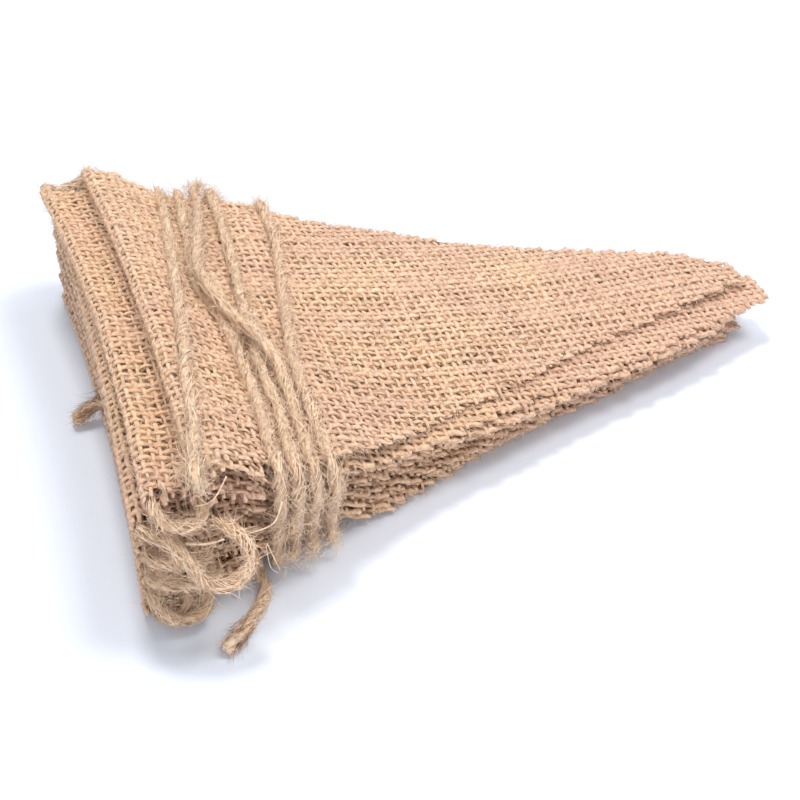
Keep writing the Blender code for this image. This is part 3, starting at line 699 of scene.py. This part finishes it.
SLACK = (
    (-34.5, 70.0),
    (-41.0, 75.0),
    (-49.0, 78.5),
    (-58.0, 82.5),
    (-64.5, 83.5),
    (-67.0, 80.0),
    (-64.6, 74.0),
)
NEAR_END = (
    *((-63.1, y, TWINE_R, TWINE_R) for y in (62.0, 20.0, -20.0, -50.0)),
    (-63.2, -57.5, 1.7, 1.7),
    (-63.8, -62.8, 1.7, 1.7),
    (-67.0, -68.0, 1.8, 1.7),
    (-71.2, -72.8, 2.1, 1.9),
    (-75.0, -76.6, 2.4, 2.2),
    (-76.8, -78.2, 2.5, 2.3),
)


def smooth(points, spacing):
    """Points at about the spacing on a smooth curve through rows of numbers."""
    rows, made = np.asarray(points, float), []
    for i in range(len(rows) - 1):
        a, b = rows[max(0, i - 1)], rows[i]
        c, d = rows[i + 1], rows[min(len(rows) - 1, i + 2)]
        steps = max(1, round(np.linalg.norm((c - b)[:3]) / spacing))
        for t in np.arange(steps) / steps:
            bend = (c - a) * t + (2 * a - 5 * b + 4 * c - d) * t * t + (3 * b - a - 3 * c + d) * t**3
            made.append(b + 0.5 * bend)
    return made + [rows[-1]]


def in_hem(k, across, out=0.0):
    """The twine's middle inside hem k, or straight out past its mouth."""
    x, y = spot(k, TWINE_AT, across)
    return (x, y + math.copysign(out, across), level(k, x, y), PRESSED_R if out < 1 else TWINE_R)


def hem_run(k, towards_far):
    sign = 1 if towards_far else -1
    run = [in_hem(k, sign * share * HALF_AT_FOLD) for share in ACROSS]
    ends = [in_hem(k, end * HALF_AT_FOLD, MOUTH_LINE) for end in (-sign, sign)]
    return ends[:1] + run + ends[1:]


def short_link(k, side):
    """The twine between hems k and k + 1, past their ends: a narrow turn."""
    beside = range(max(0, k - 2), min(TOP, k + 3) + 1)
    y = side * (max(side * PENNANTS[j].mid_y for j in beside) + HALF_AT_FOLD + LINK_ROOM)
    a, b = (in_hem(j, side * HALF_AT_FOLD) for j in (k, k + 1))
    sag = LINK_SAG.get(k, LINK_SAG_LEAST)
    rows = []
    for share, drop, out in LINK:
        x, z = (p + (q - p) * share for p, q in ((a[0], b[0]), (a[2], b[2])))
        rows.append((x, y + side * out, z - sag * drop, TWINE_R))
    return smooth(rows, TURN_SPACING)


def open_loop(k):
    rows = [in_hem(k, -HALF_AT_FOLD, MOUTH_OUT)]
    rows += [point + (TWINE_R,) for point in LOOPS[k]]
    rows += [in_hem(k + 1, -HALF_AT_FOLD, MOUTH_OUT)]
    return smooth(rows, TURN_SPACING)


def hem_route():
    """The twine from the left end through every hem to the near mouth of the top one."""
    whole = smooth(LEFT_END, TAIL_SPACING)
    for k in range(TOP + 1):
        whole += hem_run(k, towards_far=k % 2 == 0)
        if k in LOOPS:
            whole += open_loop(k)
        elif k < TOP:
            whole += short_link(k, 1 if k % 2 == 0 else -1)
    return np.array(whole)


def outer_y(x, side, z_low=0.0, z_high=99.0):
    """How far the stack reaches at x on one side, among the pennants between two heights."""
    reach = []
    for k in range(TOP + 1):
        along = x - PENNANTS[k].fold_x
        if 0 < along < PENNANTS[k].length and z_low <= level(k, x, side * SIDE_Y) <= z_high:
            reach.append(side * middle(k, along) + half_width(k, along, side) + EDGE_WAVE)
    return side * max(reach)


def top_surface(x, y):
    """The upper face of the top pennant."""
    along = x - PENNANTS[TOP].fold_x
    rise = hem_rise(along) if along > TWINE_AT else LOOP_R
    return level(TOP, x, y) + rise + CLOTH / 2


def on_top(x, y, lift=0.0):
    room = TWINE_R - PRESSED_IN - FAR_PRESSED * ease((y - 30) / 35)
    z = max(top_surface(x + room * b / 4, y) + room * math.sqrt(1 - b * b / 16) for b in range(-4, 5))
    return (x, y, z + lift, TWINE_R)


def side_drop(x_top, x_foot, side, out=0.0):
    """A strand from the top edge down one side to the surface, following the stack's lean."""
    edge = outer_y(x_top, side, TOP_FROM[side])
    snug = SNUG if side > 0 and x_top < SNUG_TO else 1.0
    height = top_surface(x_top, edge) + CORNER_UP * snug
    rows = [(x_top, edge + side * CORNER_OUT, height, CORNER_R * snug)]
    for share in SIDE_SHARES:
        x = x_top + (x_foot - x_top) * (1 - share)
        z = TWINE_R + (height - TWINE_R) * share
        room = EDGE_ROOM + out * math.sin(math.pi * share) ** 0.5
        room = room - (FOOT_IN * (1 - share) if side < 0 else 0)
        rows.append((x, outer_y(x, side, z - BESIDE, z + BESIDE) + side * room, z, TWINE_R))
    return rows


def top_pass(rows):
    return [on_top(x, y, lift) for x, y, lift, _ in smooth([row + (0.0,) for row in rows], RUN_SPACING)]


def over_top(near_x, over, far_x):
    near_y, far_y = outer_y(near_x, -1, TOP_FROM[-1]), outer_y(far_x, 1, TOP_FROM[1])
    return top_pass([(near_x, near_y + CORNER, 0.0), *over, (far_x, far_y - CORNER, 0.0)])


def under_pass(far_x, near_x):
    far_y = outer_y(far_x, 1, 0, BOTTOM_TO) - UNDER_IN[1]
    near_y = outer_y(near_x, -1, 0, BOTTOM_TO) + UNDER_IN[-1]
    spots = [(far_x + (near_x - far_x) * share, far_y + (near_y - far_y) * share) for share in UNDER_SHARES]
    return [(x, y, TWINE_R, TWINE_R) for x, y in spots]


def winding_route():
    """The twine from the top hem's near mouth, round the stack, to the near end."""
    rows = [in_hem(TOP, -HALF_AT_FOLD, MOUTH_OUT)]
    rows += [point + (TWINE_R,) for point in FIRST_RISE]
    rows += top_pass([*FIRST_OVER, (FIRST_FAR, outer_y(FIRST_FAR, 1, TOP_FROM[-1]) - CORNER, 0.0)])
    rows += side_drop(FIRST_FAR, FIRST_FOOT, 1)
    foot = FIRST_FOOT
    for (near_x, over, far_x, far_foot, out), under_x in zip(TURNS, UNDER_FEET):
        rows += under_pass(foot, under_x)
        rows += list(reversed(side_drop(near_x, under_x, -1)))
        rows += over_top(near_x, over, far_x)
        rows += side_drop(far_x, far_foot, 1, out)
        foot = far_foot
    rows += [(x, y, TWINE_R, TWINE_R) for x, y in SLACK] + list(NEAR_END)
    return np.array([(x, y, max(z, r + FLOOR_ROOM), r) for x, y, z, r in smooth(rows, RUN_SPACING)])


# The twisted twine

HIDDEN_R = 1.3  # a route this thin or thinner is pressed inside a hem or tucked under one
HIDDEN_STEP = 4.0
PLY_SIDES = 8
PLY_OFFSET, PLY_R, PLY_OVAL = 0.42, 0.50, 1.06  # of the twine's radius, and how much wider than high
PLY_MOST = 1.9
# Slow waves along a ply: how large, over what length, and how much further on in each next ply.
WANDER = ((0.5, 17, 1), (0.3, 7.3, 2))
SWELLING = ((0.10, 5.1, 4), (0.06, 2.3, 1))
UNDER_Z, UNDER_Y = 3.3, 62.0  # the twine lies unseen below this height and nearer the middle than this


def even_route(rows, step):
    """The route at even steps, and longer ones where it is hidden."""
    fine = np.array(smooth(rows, 0.5))
    lengths = lengths_of(fine[:, :3])
    keep, at = [0.0], 0.0
    while at < lengths[-1] - 0.3:
        radius = np.interp(at, lengths, fine[:, 3])
        at = min(lengths[-1], at + (HIDDEN_STEP if radius <= HIDDEN_R * 0.8 else step))
        keep.append(at)
    at = np.array(keep)
    return np.stack([np.interp(at, lengths, fine[:, i]) for i in range(4)], -1), at


def carried_normals(path):
    """A direction square to the path at each point, turning as little as it can."""
    along = directions(path)
    normal = np.zeros_like(path)
    start = np.cross(along[0], (0.0, 0.0, 1.0))
    normal[0] = unit(start if np.linalg.norm(start) > 0.1 else np.cross(along[0], (0.0, 1.0, 0.0)))
    for i in range(1, len(path)):
        carried = normal[i - 1] - along[i] * np.dot(normal[i - 1], along[i])
        normal[i] = unit(carried)
    return normal


def slow_waves(rows, lengths, ply, start):
    return sum((size * np.sin(lengths / over + turn * ply) for size, over, turn in rows), start)


def lay_plies(strands, path, radii, lengths, twine, tint, rng):
    """The plies of a length of twine, turning round its middle line."""
    normal = carried_normals(path)
    other = np.cross(directions(path), normal)
    for ply in range(twine.plies):
        wander = slow_waves(WANDER, lengths, ply, 0)
        turn = 2 * math.pi * (lengths / (twine.lay / MM) + ply / twine.plies) + wander
        offset = normal * np.cos(turn)[:, None] + other * np.sin(turn)[:, None]
        middle_line = path + offset * (PLY_OFFSET * radii)[:, None]
        size = 2 * PLY_R * radii * slow_waves(SWELLING, lengths, ply, 1)
        rings = oval_rings(middle_line, offset, size * PLY_OVAL, size, PLY_SIDES)
        strands.add_cut(rings, lengths + 300 * ply, rng.uniform(*tint))


# Loose fibres

FIBRE_TAPER, FIBRE_LOWEST = 0.25, 0.15  # how thin a fibre ends, and how close to the surface it comes
ROOT_LOWEST = 0.3  # no loose fibre of a frayed end or a tangle begins closer to the surface
# A kind of loose fibre: its least and most length, width and tint, how much it curls, and its steps.
Fibre = namedtuple("Fibre", "long wide tint curl steps")
CLOTH_FIBRE = Fibre((1.2, 5.0), (0.07, 0.15), (0.2, 1.0), 1.6, 3)
EDGE_FIBRE = Fibre((0.8, 3.2), (0.06, 0.16), (0.2, 1.0), 0.9, 3)
HEMS_FIBRE = Fibre((2.5, 7.0), (0.09, 0.20), (0.0, 0.9), 1.5, 3)
ROUND_FIBRE = Fibre((4.0, 11.0), (0.09, 0.20), (0.3, 1.0), 1.5, 3)
TANGLE_FIBRE = Fibre((1.8, 6.0), (0.07, 0.17), (0.35, 1.0), 2.2, 4)
FRAYED_FIBRE = Fibre((0.55, 1.1), (0.08, 0.20), (0.0, 0.5), 0.7, 5)  # its lengths as shares of the next
FRAYED_LENGTH = 6.5


def fibres(strands, base, heading, lengths, kind, rng):
    """Thin curved ribbons of a kind from base points, each bending its own way."""
    count = len(base)
    widths = rng.uniform(*kind.wide, count)
    heading = unit(heading)
    bend = unit(np.cross(heading, rng.normal(size=(count, 3))))
    turn = rng.normal(0, 1, count) * kind.curl
    second = rng.normal(0, 1, count) * kind.curl
    other = np.cross(heading, bend)
    place, line = base.copy(), [base]
    for i in range(kind.steps):
        share = (i + 0.5) / kind.steps
        a, b = turn * share, second * share * share
        way = unit(heading + bend * np.sin(a)[:, None] + other * np.sin(b)[:, None])
        place = place + way * (lengths / kind.steps)[:, None]
        place[:, 2] = np.maximum(place[:, 2], FIBRE_LOWEST)
        line.append(place)
    line = np.stack(line, 1)
    flat = unit(np.cross(heading, rng.normal(size=(count, 3))))
    taper = np.linspace(1, FIBRE_TAPER, kind.steps + 1)
    half = flat[:, None] * (widths[:, None, None] / 2 * taper[None, :, None])
    pairs = np.stack([line - half, line + half], 2)
    tints = rng.uniform(*kind.tint, count)
    for pair, length, tint in zip(pairs, lengths, tints):
        strands.add(pair, np.linspace(0, length, kind.steps + 1), tint, closed=False)


LOW, LOW_SHARE = 9.0, 0.4  # near the surface the fibres are shorter
WRAP_SHARE, WRAP_POINTS = 0.28, (6, 13)  # how many wraps for each fibre that stands off
WRAP_HALF = (0.06, 0.14)  # half of a wrap's width


def in_sight(path, radii):
    """Where a length of twine is neither inside a hem nor under the stack."""
    under = (path[:, 2] < UNDER_Z) & (np.abs(path[:, 1] - STACK_MID_Y) < UNDER_Y) & (path[:, 0] > HEMS_X)
    return (radii > HIDDEN_R) & ~under


def twine_fuzz(strands, path, radii, count, rng, own):
    """Fibres that stand off a length of twine, most of them lying nearly along it."""
    pick = rng.choice(np.flatnonzero(in_sight(path, radii)), count)
    along = directions(path)[pick] * rng.choice((-1, 1), (count, 1))
    out = unit(np.cross(along, rng.normal(size=(count, 3))))
    round_it = np.cross(along, out)
    base = path[pick] + out * (radii[pick] * rng.uniform(0.7, 1.0, count))[:, None]
    heading = along + out * np.abs(rng.normal(0, own.spread, count))[:, None]
    heading = heading + round_it * rng.normal(0, 0.9 * own.spread, (count, 1))
    lengths = rng.uniform(*own.fibre.long, count) * rng.uniform(0.4, 1, count)
    lengths = lengths * np.where(base[:, 2] < LOW, LOW_SHARE, 1)
    fibres(strands, base, heading, lengths, own.fibre, rng)


def twine_wraps(strands, path, radii, lengths, twine, count, rng):
    """Fibres that lie on the twine and follow its twist, loosely."""
    normal = carried_normals(path)
    other = np.cross(directions(path), normal)
    for start in rng.choice(np.flatnonzero(in_sight(path, radii)[: -WRAP_POINTS[1] - 1]), count):
        rows = slice(start, start + rng.integers(*WRAP_POINTS))
        at = lengths[rows]
        turn = 2 * math.pi * at / (twine.lay / MM) * rng.normal(1, 1.3) + rng.uniform(0, 6.3)
        out = normal[rows] * np.cos(turn)[:, None] + other[rows] * np.sin(turn)[:, None]
        off = radii[rows] * rng.uniform(0.86, 1.06)
        off = off + 0.2 * np.sin(at / rng.uniform(1, 3) + rng.uniform(0, 6))
        line = path[rows] + out * off[:, None]
        flat = unit(np.cross(out, directions(line)))
        half = flat * rng.uniform(*WRAP_HALF)
        strands.add(np.stack([line - half, line + half], 1), at, rng.uniform(0.2, 1), closed=False)


FRAYED = 5.0  # how far back from its end the twine is frayed
BRUSH_COUNT, BRUSH_TURN, BRUSH_SPREAD = 330, 0.16, 0.85


def brush(strands, tip, heading, rng):
    """The frayed end of the twine."""
    turn = rng.normal(0, BRUSH_TURN, (BRUSH_COUNT, 3))
    base = tip + rng.normal(0, BRUSH_SPREAD, (BRUSH_COUNT, 3))
    base = base - heading * rng.uniform(0, FRAYED, (BRUSH_COUNT, 1))
    base[:, 2] = np.maximum(base[:, 2], ROOT_LOWEST)
    lengths = FRAYED_LENGTH * rng.uniform(*FRAYED_FIBRE.long, BRUSH_COUNT)
    fibres(strands, base, heading + turn, lengths, FRAYED_FIBRE, rng)


# Loose masses of fine hairs: their middle, how far they reach each way, and how many hairs.
TANGLES = (
    (-47.1, 71.0, 37.4, 2.0, 1.6, 0.9, 260),
    (-44.1, 65.0, 36.6, 2.0, 2.0, 0.8, 220),
    (-32.9, 58.0, 34.2, 2.4, 1.4, 0.8, 220),
    (-78.4, -66.0, 46.0, 2.4, 3.0, 0.8, 360),
    (-56.6, -58.6, 7.0, 1.4, 0.6, 2.0, 90),
    (-50.6, -57.8, 6.5, 2.0, 0.6, 2.0, 120),
    (-44.6, -54.8, 6.5, 1.6, 0.6, 2.0, 90),
    (-57.0, -62.0, 20.0, 3.0, 1.0, 4.0, 120),
    (-83.0, -64.0, 3.5, 3.5, 1.2, 1.6, 240),
    (-78.0, -69.5, 26.0, 5.0, 1.6, 3.0, 130),
    (-82.0, -66.5, 10.0, 5.0, 1.6, 3.0, 130),
    (-87.0, -68.0, 18.0, 2.0, 1.6, 5.0, 220),
)

# Single loose threads: a pale one's tint, or None for a dark splinter, the width, and points on it.
STRAYS = (
    (None, 0.45, ((-54.5, -20.6, 38.6), (-54.3, -24.9, 38.4), (-53.8, -29.1, 37.8))),
    (None, 0.40, ((9.9, -26.2, 20.3), (13.4, -25.9, 19.9), (15.8, -29.8, 19.4))),
    (None, 0.45, ((-69.7, -75.3, 3.9), (-71.8, -77.2, 3.8), (-73.9, -78.5, 3.4))),
    (0.7, 0.34, ((-59.1, -39.5, 39.3), (-62.3, -42.5, 41.3), (-64.6, -47.4, 42.4))),
    (0.6, 0.34, ((-71.8, -69.5, 45.0), (-75.5, -71.5, 41.0), (-79.4, -71.2, 40.0))),
    (0.8, 0.36, ((-60.0, -69.5, 34.5), (-62.8, -71.5, 30.5), (-68.9, -70.8, 28.5))),
    (1.0, 0.25, ((-64.3, -70.9, 24.5), (-63.0, -71.8, 20.0), (-61.7, -70.6, 15.5))),
    (0.8, 0.20, ((-64.6, -70.9, 24.0), (-64.2, -72.2, 18.6), (-62.2, -71.0, 15.0))),
    (0.4, 0.70, ((-82.5, -71.0, 30.0), (-78.0, -72.0, 29.4), (-74.0, -72.2, 29.8))),
    (0.1, 1.10, ((-85.6, -69.2, 46.6), (-85.3, -70.4, 44.6), (-85.0, -70.6, 42.8))),
    (0.1, 1.00, ((-85.6, -69.6, 26.6), (-85.3, -70.6, 24.6), (-85.2, -70.6, 23.0))),
)


def stray_threads(strands, dark):
    """The single loose threads, dark or pale."""
    for tint, width, points in STRAYS:
        if (tint is None) != dark:
            continue
        line = np.array(smooth(points, 0.8))
        sizes = width * np.linspace(1.1, 0.6, len(line))
        rings = oval_rings(line, carried_normals(line), sizes, sizes, YARN_SIDES)
        strands.add_cut(rings, lengths_of(line), tint or 0.0)


def tangle(strands, row, rng):
    """A loose mass of fine crossing hairs."""
    *middle_and_reach, count = row
    centre, reach = np.array(middle_and_reach[:3]), np.array(middle_and_reach[3:])
    base = centre + np.clip(rng.normal(0, 0.6, (count, 3)), -1.5, 1.5) * reach
    base[:, 2] = np.maximum(base[:, 2], ROOT_LOWEST)
    heading = rng.normal(size=(count, 3)) * (1.0, 0.7, 0.8)
    fibres(strands, base, heading, rng.uniform(*TANGLE_FIBRE.long, count), TANGLE_FIBRE, rng)


# How many fibres lie on the cloth, and along the cut sides.
CLOTH_FIBRES = {TOP: 11600, TOP - 1: 4000}
EDGE_FIBRES, LOWER_EDGE_FIBRES = {TOP: 1500}, 750


def cloth_fuzz(strands, k, rng):
    """Short fibres that lie on pennant k and stand a little off it."""
    first, count = FOLD_AT - 4, CLOTH_FIBRES[k]
    s = first + (tip_at(k) - first) * rng.uniform(0, 1, count * 3) ** 1.35
    across = rng.uniform(-HALF_AT_FOLD, HALF_AT_FOLD, count * 3)
    inside = (edge_room(k, s, across) > 0) & shown(k, s, across)
    s, across = s[inside][:count], across[inside][:count]
    normal = cloth_normal(k, s, across)
    base = cloth_point(k, s, across) + normal * rng.uniform(0.1, 0.5, (len(s), 1))
    flat = unit(np.cross(normal, rng.normal(size=(len(s), 3))))
    heading = flat + normal * np.abs(rng.normal(0.12, 0.28, len(s)))[:, None]
    fibres(strands, base, heading, rng.uniform(*CLOTH_FIBRE.long, len(s)), CLOTH_FIBRE, rng)


def edge_fuzz(strands, k, rng):
    """Frayed fibres along pennant k's cut sides."""
    count = EDGE_FIBRES.get(k, LOWER_EDGE_FIBRES)
    s = rng.uniform(0, tip_at(k), count)
    side = rng.choice((-1.0, 1.0), count)
    across = side * (np.where(side < 0, *cut_edges(k, s)) + rng.uniform(-1.2, 0.6, count))
    base = cloth_point(k, s, across) + rng.normal(0, 0.25, (count, 3))
    heading = np.stack([rng.normal(0.25, 0.5, count), side, rng.normal(0, 0.35, count)], -1)
    fibres(strands, base, heading, rng.uniform(*EDGE_FIBRE.long, count), EDGE_FIBRE, rng)


# Settings


def setting(kind, name, description, default, **more):
    return kind(name=name, description=description, default=default, **more)


def length_setting(name, description, default):
    return setting(bpy.props.FloatProperty, name, description, default, unit="LENGTH")


def power_setting(name, description, default):
    return setting(bpy.props.FloatProperty, name, description, default, unit="POWER")


def colour_setting(name, description, default):
    more = {"subtype": "COLOR", "size": 4}
    return setting(bpy.props.FloatVectorProperty, name, description, (*default, 1), **more)


def place_setting(name, description, default):
    more = {"subtype": "TRANSLATION", "unit": "LENGTH", "size": 3}
    return setting(bpy.props.FloatVectorProperty, name, description, default, **more)


class ClothSettings(bpy.types.PropertyGroup):
    """How the burlap is woven, in metres."""

    cross_pitch: length_setting("Cross pitch", "Between the yarns that run across", 0.0022)
    long_pitch: length_setting("Long pitch", "Between the yarns from fold to tip", 0.0024)
    cross_width: length_setting("Cross yarn", "Width of a yarn that runs across", 0.00116)
    long_width: length_setting("Long yarn", "Width of a yarn from fold to tip", 0.00151)
    yarn_height: length_setting("Yarn height", "Thickness of a yarn", 0.00074)
    crimp: length_setting("Crimp", "How far a yarn swings over and under", 0.00036)
    stray: length_setting("Stray", "How far yarns stray from straight", 0.0007)
    steps: setting(bpy.props.IntProperty, "Steps", "Points of a yarn at each crossing", 2)
    pale: colour_setting("Pale", "Colour of the palest yarns", (0.88, 0.615, 0.425))
    deep: colour_setting("Deep", "Colour of the deepest yarns", (0.77, 0.50, 0.315))
    patch: colour_setting("Patch", "Colour of the pinkish patches", (0.755, 0.49, 0.36))
    fibre: colour_setting("Fibre", "Colour of the palest loose fibres", (0.95, 0.72, 0.52))
    # Colour of the sheet inside the weave: it stands for fibres where they half close the holes, and is
    # painted shade elsewhere.
    shade: colour_setting("Shade", "Colour inside the holes", (0.65, 0.38, 0.205))


class TwineSettings(bpy.types.PropertyGroup):
    """How the jute twine is laid, in metres."""

    step: length_setting("Step", "Between the points of a ply", 0.0011)
    lay: length_setting("Lay", "Length of one full turn of the plies", 0.027)
    tight: setting(bpy.props.FloatProperty, "Tight", "Share of the twine's size that its plies fill", 0.92)
    plies: setting(bpy.props.IntProperty, "Plies", "Strands in the twine", 3)
    fuzz: setting(bpy.props.FloatProperty, "Fuzz", "Loose fibres for each metre of twine", 8800.0)
    pale: colour_setting("Pale", "Colour of the palest fibres", (0.975, 0.74, 0.54))
    deep: colour_setting("Deep", "Colour of the deepest fibres", (0.60, 0.385, 0.225))
    fibre: colour_setting("Fibre", "Colour of the palest loose fibres", (0.975, 0.765, 0.57))
    frayed: colour_setting("Frayed", "Colour of the frayed ends", (0.36, 0.18, 0.10))


class StageSettings(bpy.types.PropertyGroup):
    """The camera, the floor and the light."""

    eye: place_setting("Eye", "Where the camera stands", (-0.1233, -0.32276, 0.2513))
    aim: place_setting("Aim", "What the camera looks at", (-0.0242, -0.03506, 0.022))
    lens: setting(bpy.props.FloatProperty, "Lens", "Focal length in mm on a 36 mm sensor", 67.5)
    floor: colour_setting("Floor", "Colour of the floor", (0.775, 0.825, 0.935))
    sky: setting(bpy.props.FloatProperty, "Sky", "Strength of the light from all sides", 0.54)
    key: power_setting("Key", "Power of the key light", 6.3)
    side: power_setting("Side", "Power of the side light", 6.4)
    front: power_setting("Front", "Power of the front light", 4.2)


SKY_COLOUR = (0.93, 0.965, 1, 1)
# Area lamps that shine on the stack: where each stands, its size and its colour.
LAMPS = {
    "key": ((-0.07, 0.20, 1.17), 0.2, (1.0, 0.98, 0.94)),
    "side": ((0.41, -0.19, 1.14), 0.35, (1.0, 0.98, 0.94)),
    "front": ((-0.35, -1.0, 0.5), 0.8, (1.0, 0.98, 0.95)),
}


class BUNTING_OT_stage(bpy.types.Operator):
    """Set up the camera, the pale floor and the soft light"""

    bl_idname = "bunting.stage"
    bl_label = "Stage"

    def execute(self, context):
        stage = context.scene.bunting_stage
        camera = bpy.data.objects.new("camera", bpy.data.cameras.new("camera"))
        camera.data.lens = stage.lens
        camera.data.clip_start = 0.01
        camera.location = stage.eye
        camera.rotation_euler = (Vector(stage.aim) - Vector(stage.eye)).to_track_quat("-Z", "Y").to_euler()
        context.scene.collection.objects.link(camera)
        context.scene.camera = camera
        bpy.ops.mesh.primitive_plane_add(size=8, location=(0, 0, -0.0003))
        floor = context.object
        floor.name = "floor"
        finish, _, shader = new_material("floor_white", 0.9)
        shader.inputs["Base Color"].default_value = stage.floor
        floor.data.materials.append(finish)
        for name, (place, size, colour) in LAMPS.items():
            self.light(context, name, place, size, getattr(stage, name), colour)
        world = bpy.data.worlds.new("studio")
        world.use_nodes = True
        light = world.node_tree.nodes["Background"].inputs
        light["Color"].default_value = SKY_COLOUR
        light["Strength"].default_value = stage.sky
        context.scene.world = world
        context.scene.view_settings.view_transform = "Standard"
        return {"FINISHED"}

    def light(self, context, name, place, size, power, colour):
        lamp = bpy.data.lights.new(name, "AREA")
        lamp.energy, lamp.size, lamp.color = power, size, colour
        made = bpy.data.objects.new(name, lamp)
        made.location = place
        made.rotation_euler = (-Vector(place)).to_track_quat("-Z", "Y").to_euler()
        context.scene.collection.objects.link(made)


# The twine's two lengths: the solids they replace, the tints of their plies, how many more fibres than usual
# they have, how steeply those stand off, and their kind.
Length = namedtuple("Length", "solids ply_tints fuzz spread fibre")
LENGTHS = {
    "twine_through_hems": Length("twine_hems_", (0.2, 0.6), 1.4, 0.65, HEMS_FIBRE),
    "twine_round_stack": Length("twine_winding_", (0.6, 1.0), 1, 0.42, ROUND_FIBRE),
}


class BUNTING_OT_twine(bpy.types.Operator):
    """Lay the twine through the hems and round the stack, with its fuzz and frayed ends"""

    bl_idname = "bunting.twine"
    bl_label = "Twine"

    def execute(self, context):
        twine = context.scene.bunting_twine
        finishes = (
            strand_material("jute_twine", twine.pale, twine.deep, twine.deep, (0.22, 9.0, 1.0), 0.9),
            strand_material("jute_fibre", twine.fibre, twine.deep, twine.pale, (0.4, 2.0, 1.0), 0.0),
            strand_material("jute_frayed", twine.deep, twine.frayed, twine.frayed, (0.4, 2.0, 1.0), 0.0),
        )
        for seed, (name, rows) in enumerate(zip(LENGTHS, (hem_route(), winding_route()))):
            self.lay(name, rows, twine, finishes, np.random.default_rng(70 + seed))
        return {"FINISHED"}

    def lay(self, name, rows, twine, finishes, rng):
        route, lengths = even_route(rows, twine.step / MM)
        path, radii = route[:, :3], route[:, 3]
        strands, fuzz, ends = Strands(), Strands(), Strands()
        own, from_end = LENGTHS[name], name == "twine_through_hems"
        tight = np.minimum(radii * twine.tight, PLY_MOST)
        lay_plies(strands, path, tight, lengths, twine, own.ply_tints, rng)
        seen = float(np.diff(lengths)[in_sight(path, radii)[1:]].sum()) * MM
        count = twine.fuzz * seen * own.fuzz
        twine_fuzz(fuzz, path, radii, int(count), rng, own)
        twine_wraps(fuzz, path, radii, lengths, twine, int(count * WRAP_SHARE), rng)
        if not from_end:
            for row in TANGLES:
                tangle(fuzz, row, rng)
            stray_threads(fuzz, False)
            stray_threads(ends, True)
        tip, inner = (path[0], path[6]) if from_end else (path[-1], path[-7])
        brush(ends, tip + unit(inner - tip) * FRAYED, unit(tip - inner), rng)
        piece = strands.make(name, finishes[0])
        extra = [fuzz.make(name + "_fuzz", finishes[1]), ends.make(name + "_frayed_end", finishes[2])]
        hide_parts(*[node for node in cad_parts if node.startswith(own.solids)])


PAINTED_HOLE_SHADE = 0.11  # how dark the painted shade in the deepest holes is, as a share of the shade colour


class BUNTING_OT_pennants(bpy.types.Operator):
    """Weave the burlap pennants, with their hems, cut edges and loose fibres"""

    bl_idname = "bunting.pennants"
    bl_label = "Pennants"

    def execute(self, context):
        cloth = context.scene.bunting_cloth
        yarn = strand_material("burlap_yarn", cloth.pale, cloth.deep, cloth.patch, (0.5, 4.0, 1.0), 0.6)
        loose = strand_material("burlap_fibre", cloth.fibre, cloth.deep, cloth.pale, (0.4, 2.0, 1.0), 0.0)
        # A darker painted shade for the deep holes.
        deep_painted_shade = (*(PAINTED_HOLE_SHADE * c for c in cloth.shade[:3]), 1)
        shade = painted_shade_material("burlap_shade", cloth.shade, deep_painted_shade)
        for k in range(TOP + 1):
            self.pennant(k, cloth, yarn, loose, shade)
        return {"FINISHED"}

    def pennant(self, k, cloth, yarn, loose, shade):
        name, rng = f"pennant_{k + 1:02d}", np.random.default_rng(900 + k)
        inner, fuzz = Strands(), Strands()
        painted_shade_sheet(k, inner)
        cross, long = weave(k, cloth)
        if k in CLOTH_FIBRES:
            cloth_fuzz(fuzz, k, rng)
        edge_fuzz(fuzz, k, rng)
        # The sheet of painted shade inside the weave, seen through the holes.
        sheet = inner.make(name + "_inner", shade)
        pieces = [cross.make(name + "_cross_yarns", yarn), long.make(name + "_long_yarns", yarn)]
        pieces.append(fuzz.make(name + "_fuzz", loose))
        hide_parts(name)


class BUNTING_PT_panel(bpy.types.Panel):
    """The bunting's settings and steps"""

    bl_label = "Bunting"
    bl_idname = "BUNTING_PT_panel"
    bl_space_type = "VIEW_3D"
    bl_region_type = "UI"
    bl_category = "Bunting"

    def draw(self, context):
        for settings in ("bunting_stage", "bunting_twine", "bunting_cloth"):
            group = getattr(context.scene, settings)
            box = self.layout.box()
            for name in group.__annotations__:
                box.prop(group, name)
        for step in STEPS:
            self.layout.operator(step.bl_idname)


STEPS = (BUNTING_OT_stage, BUNTING_OT_twine, BUNTING_OT_pennants)
GROUPS = {"bunting_stage": StageSettings, "bunting_twine": TwineSettings, "bunting_cloth": ClothSettings}


def register():
    for one in (*GROUPS.values(), *STEPS, BUNTING_PT_panel):
        bpy.utils.register_class(one)
    for name, group in GROUPS.items():
        setattr(bpy.types.Scene, name, bpy.props.PointerProperty(type=group))


def unregister():
    for name in GROUPS:
        delattr(bpy.types.Scene, name)
    for one in (BUNTING_PT_panel, *reversed(STEPS), *reversed(GROUPS.values())):
        bpy.utils.unregister_class(one)


def main():
    register()
    bpy.ops.bunting.stage()
    bpy.ops.bunting.twine()
    bpy.ops.bunting.pennants()


if __name__ == "__main__":
    main()
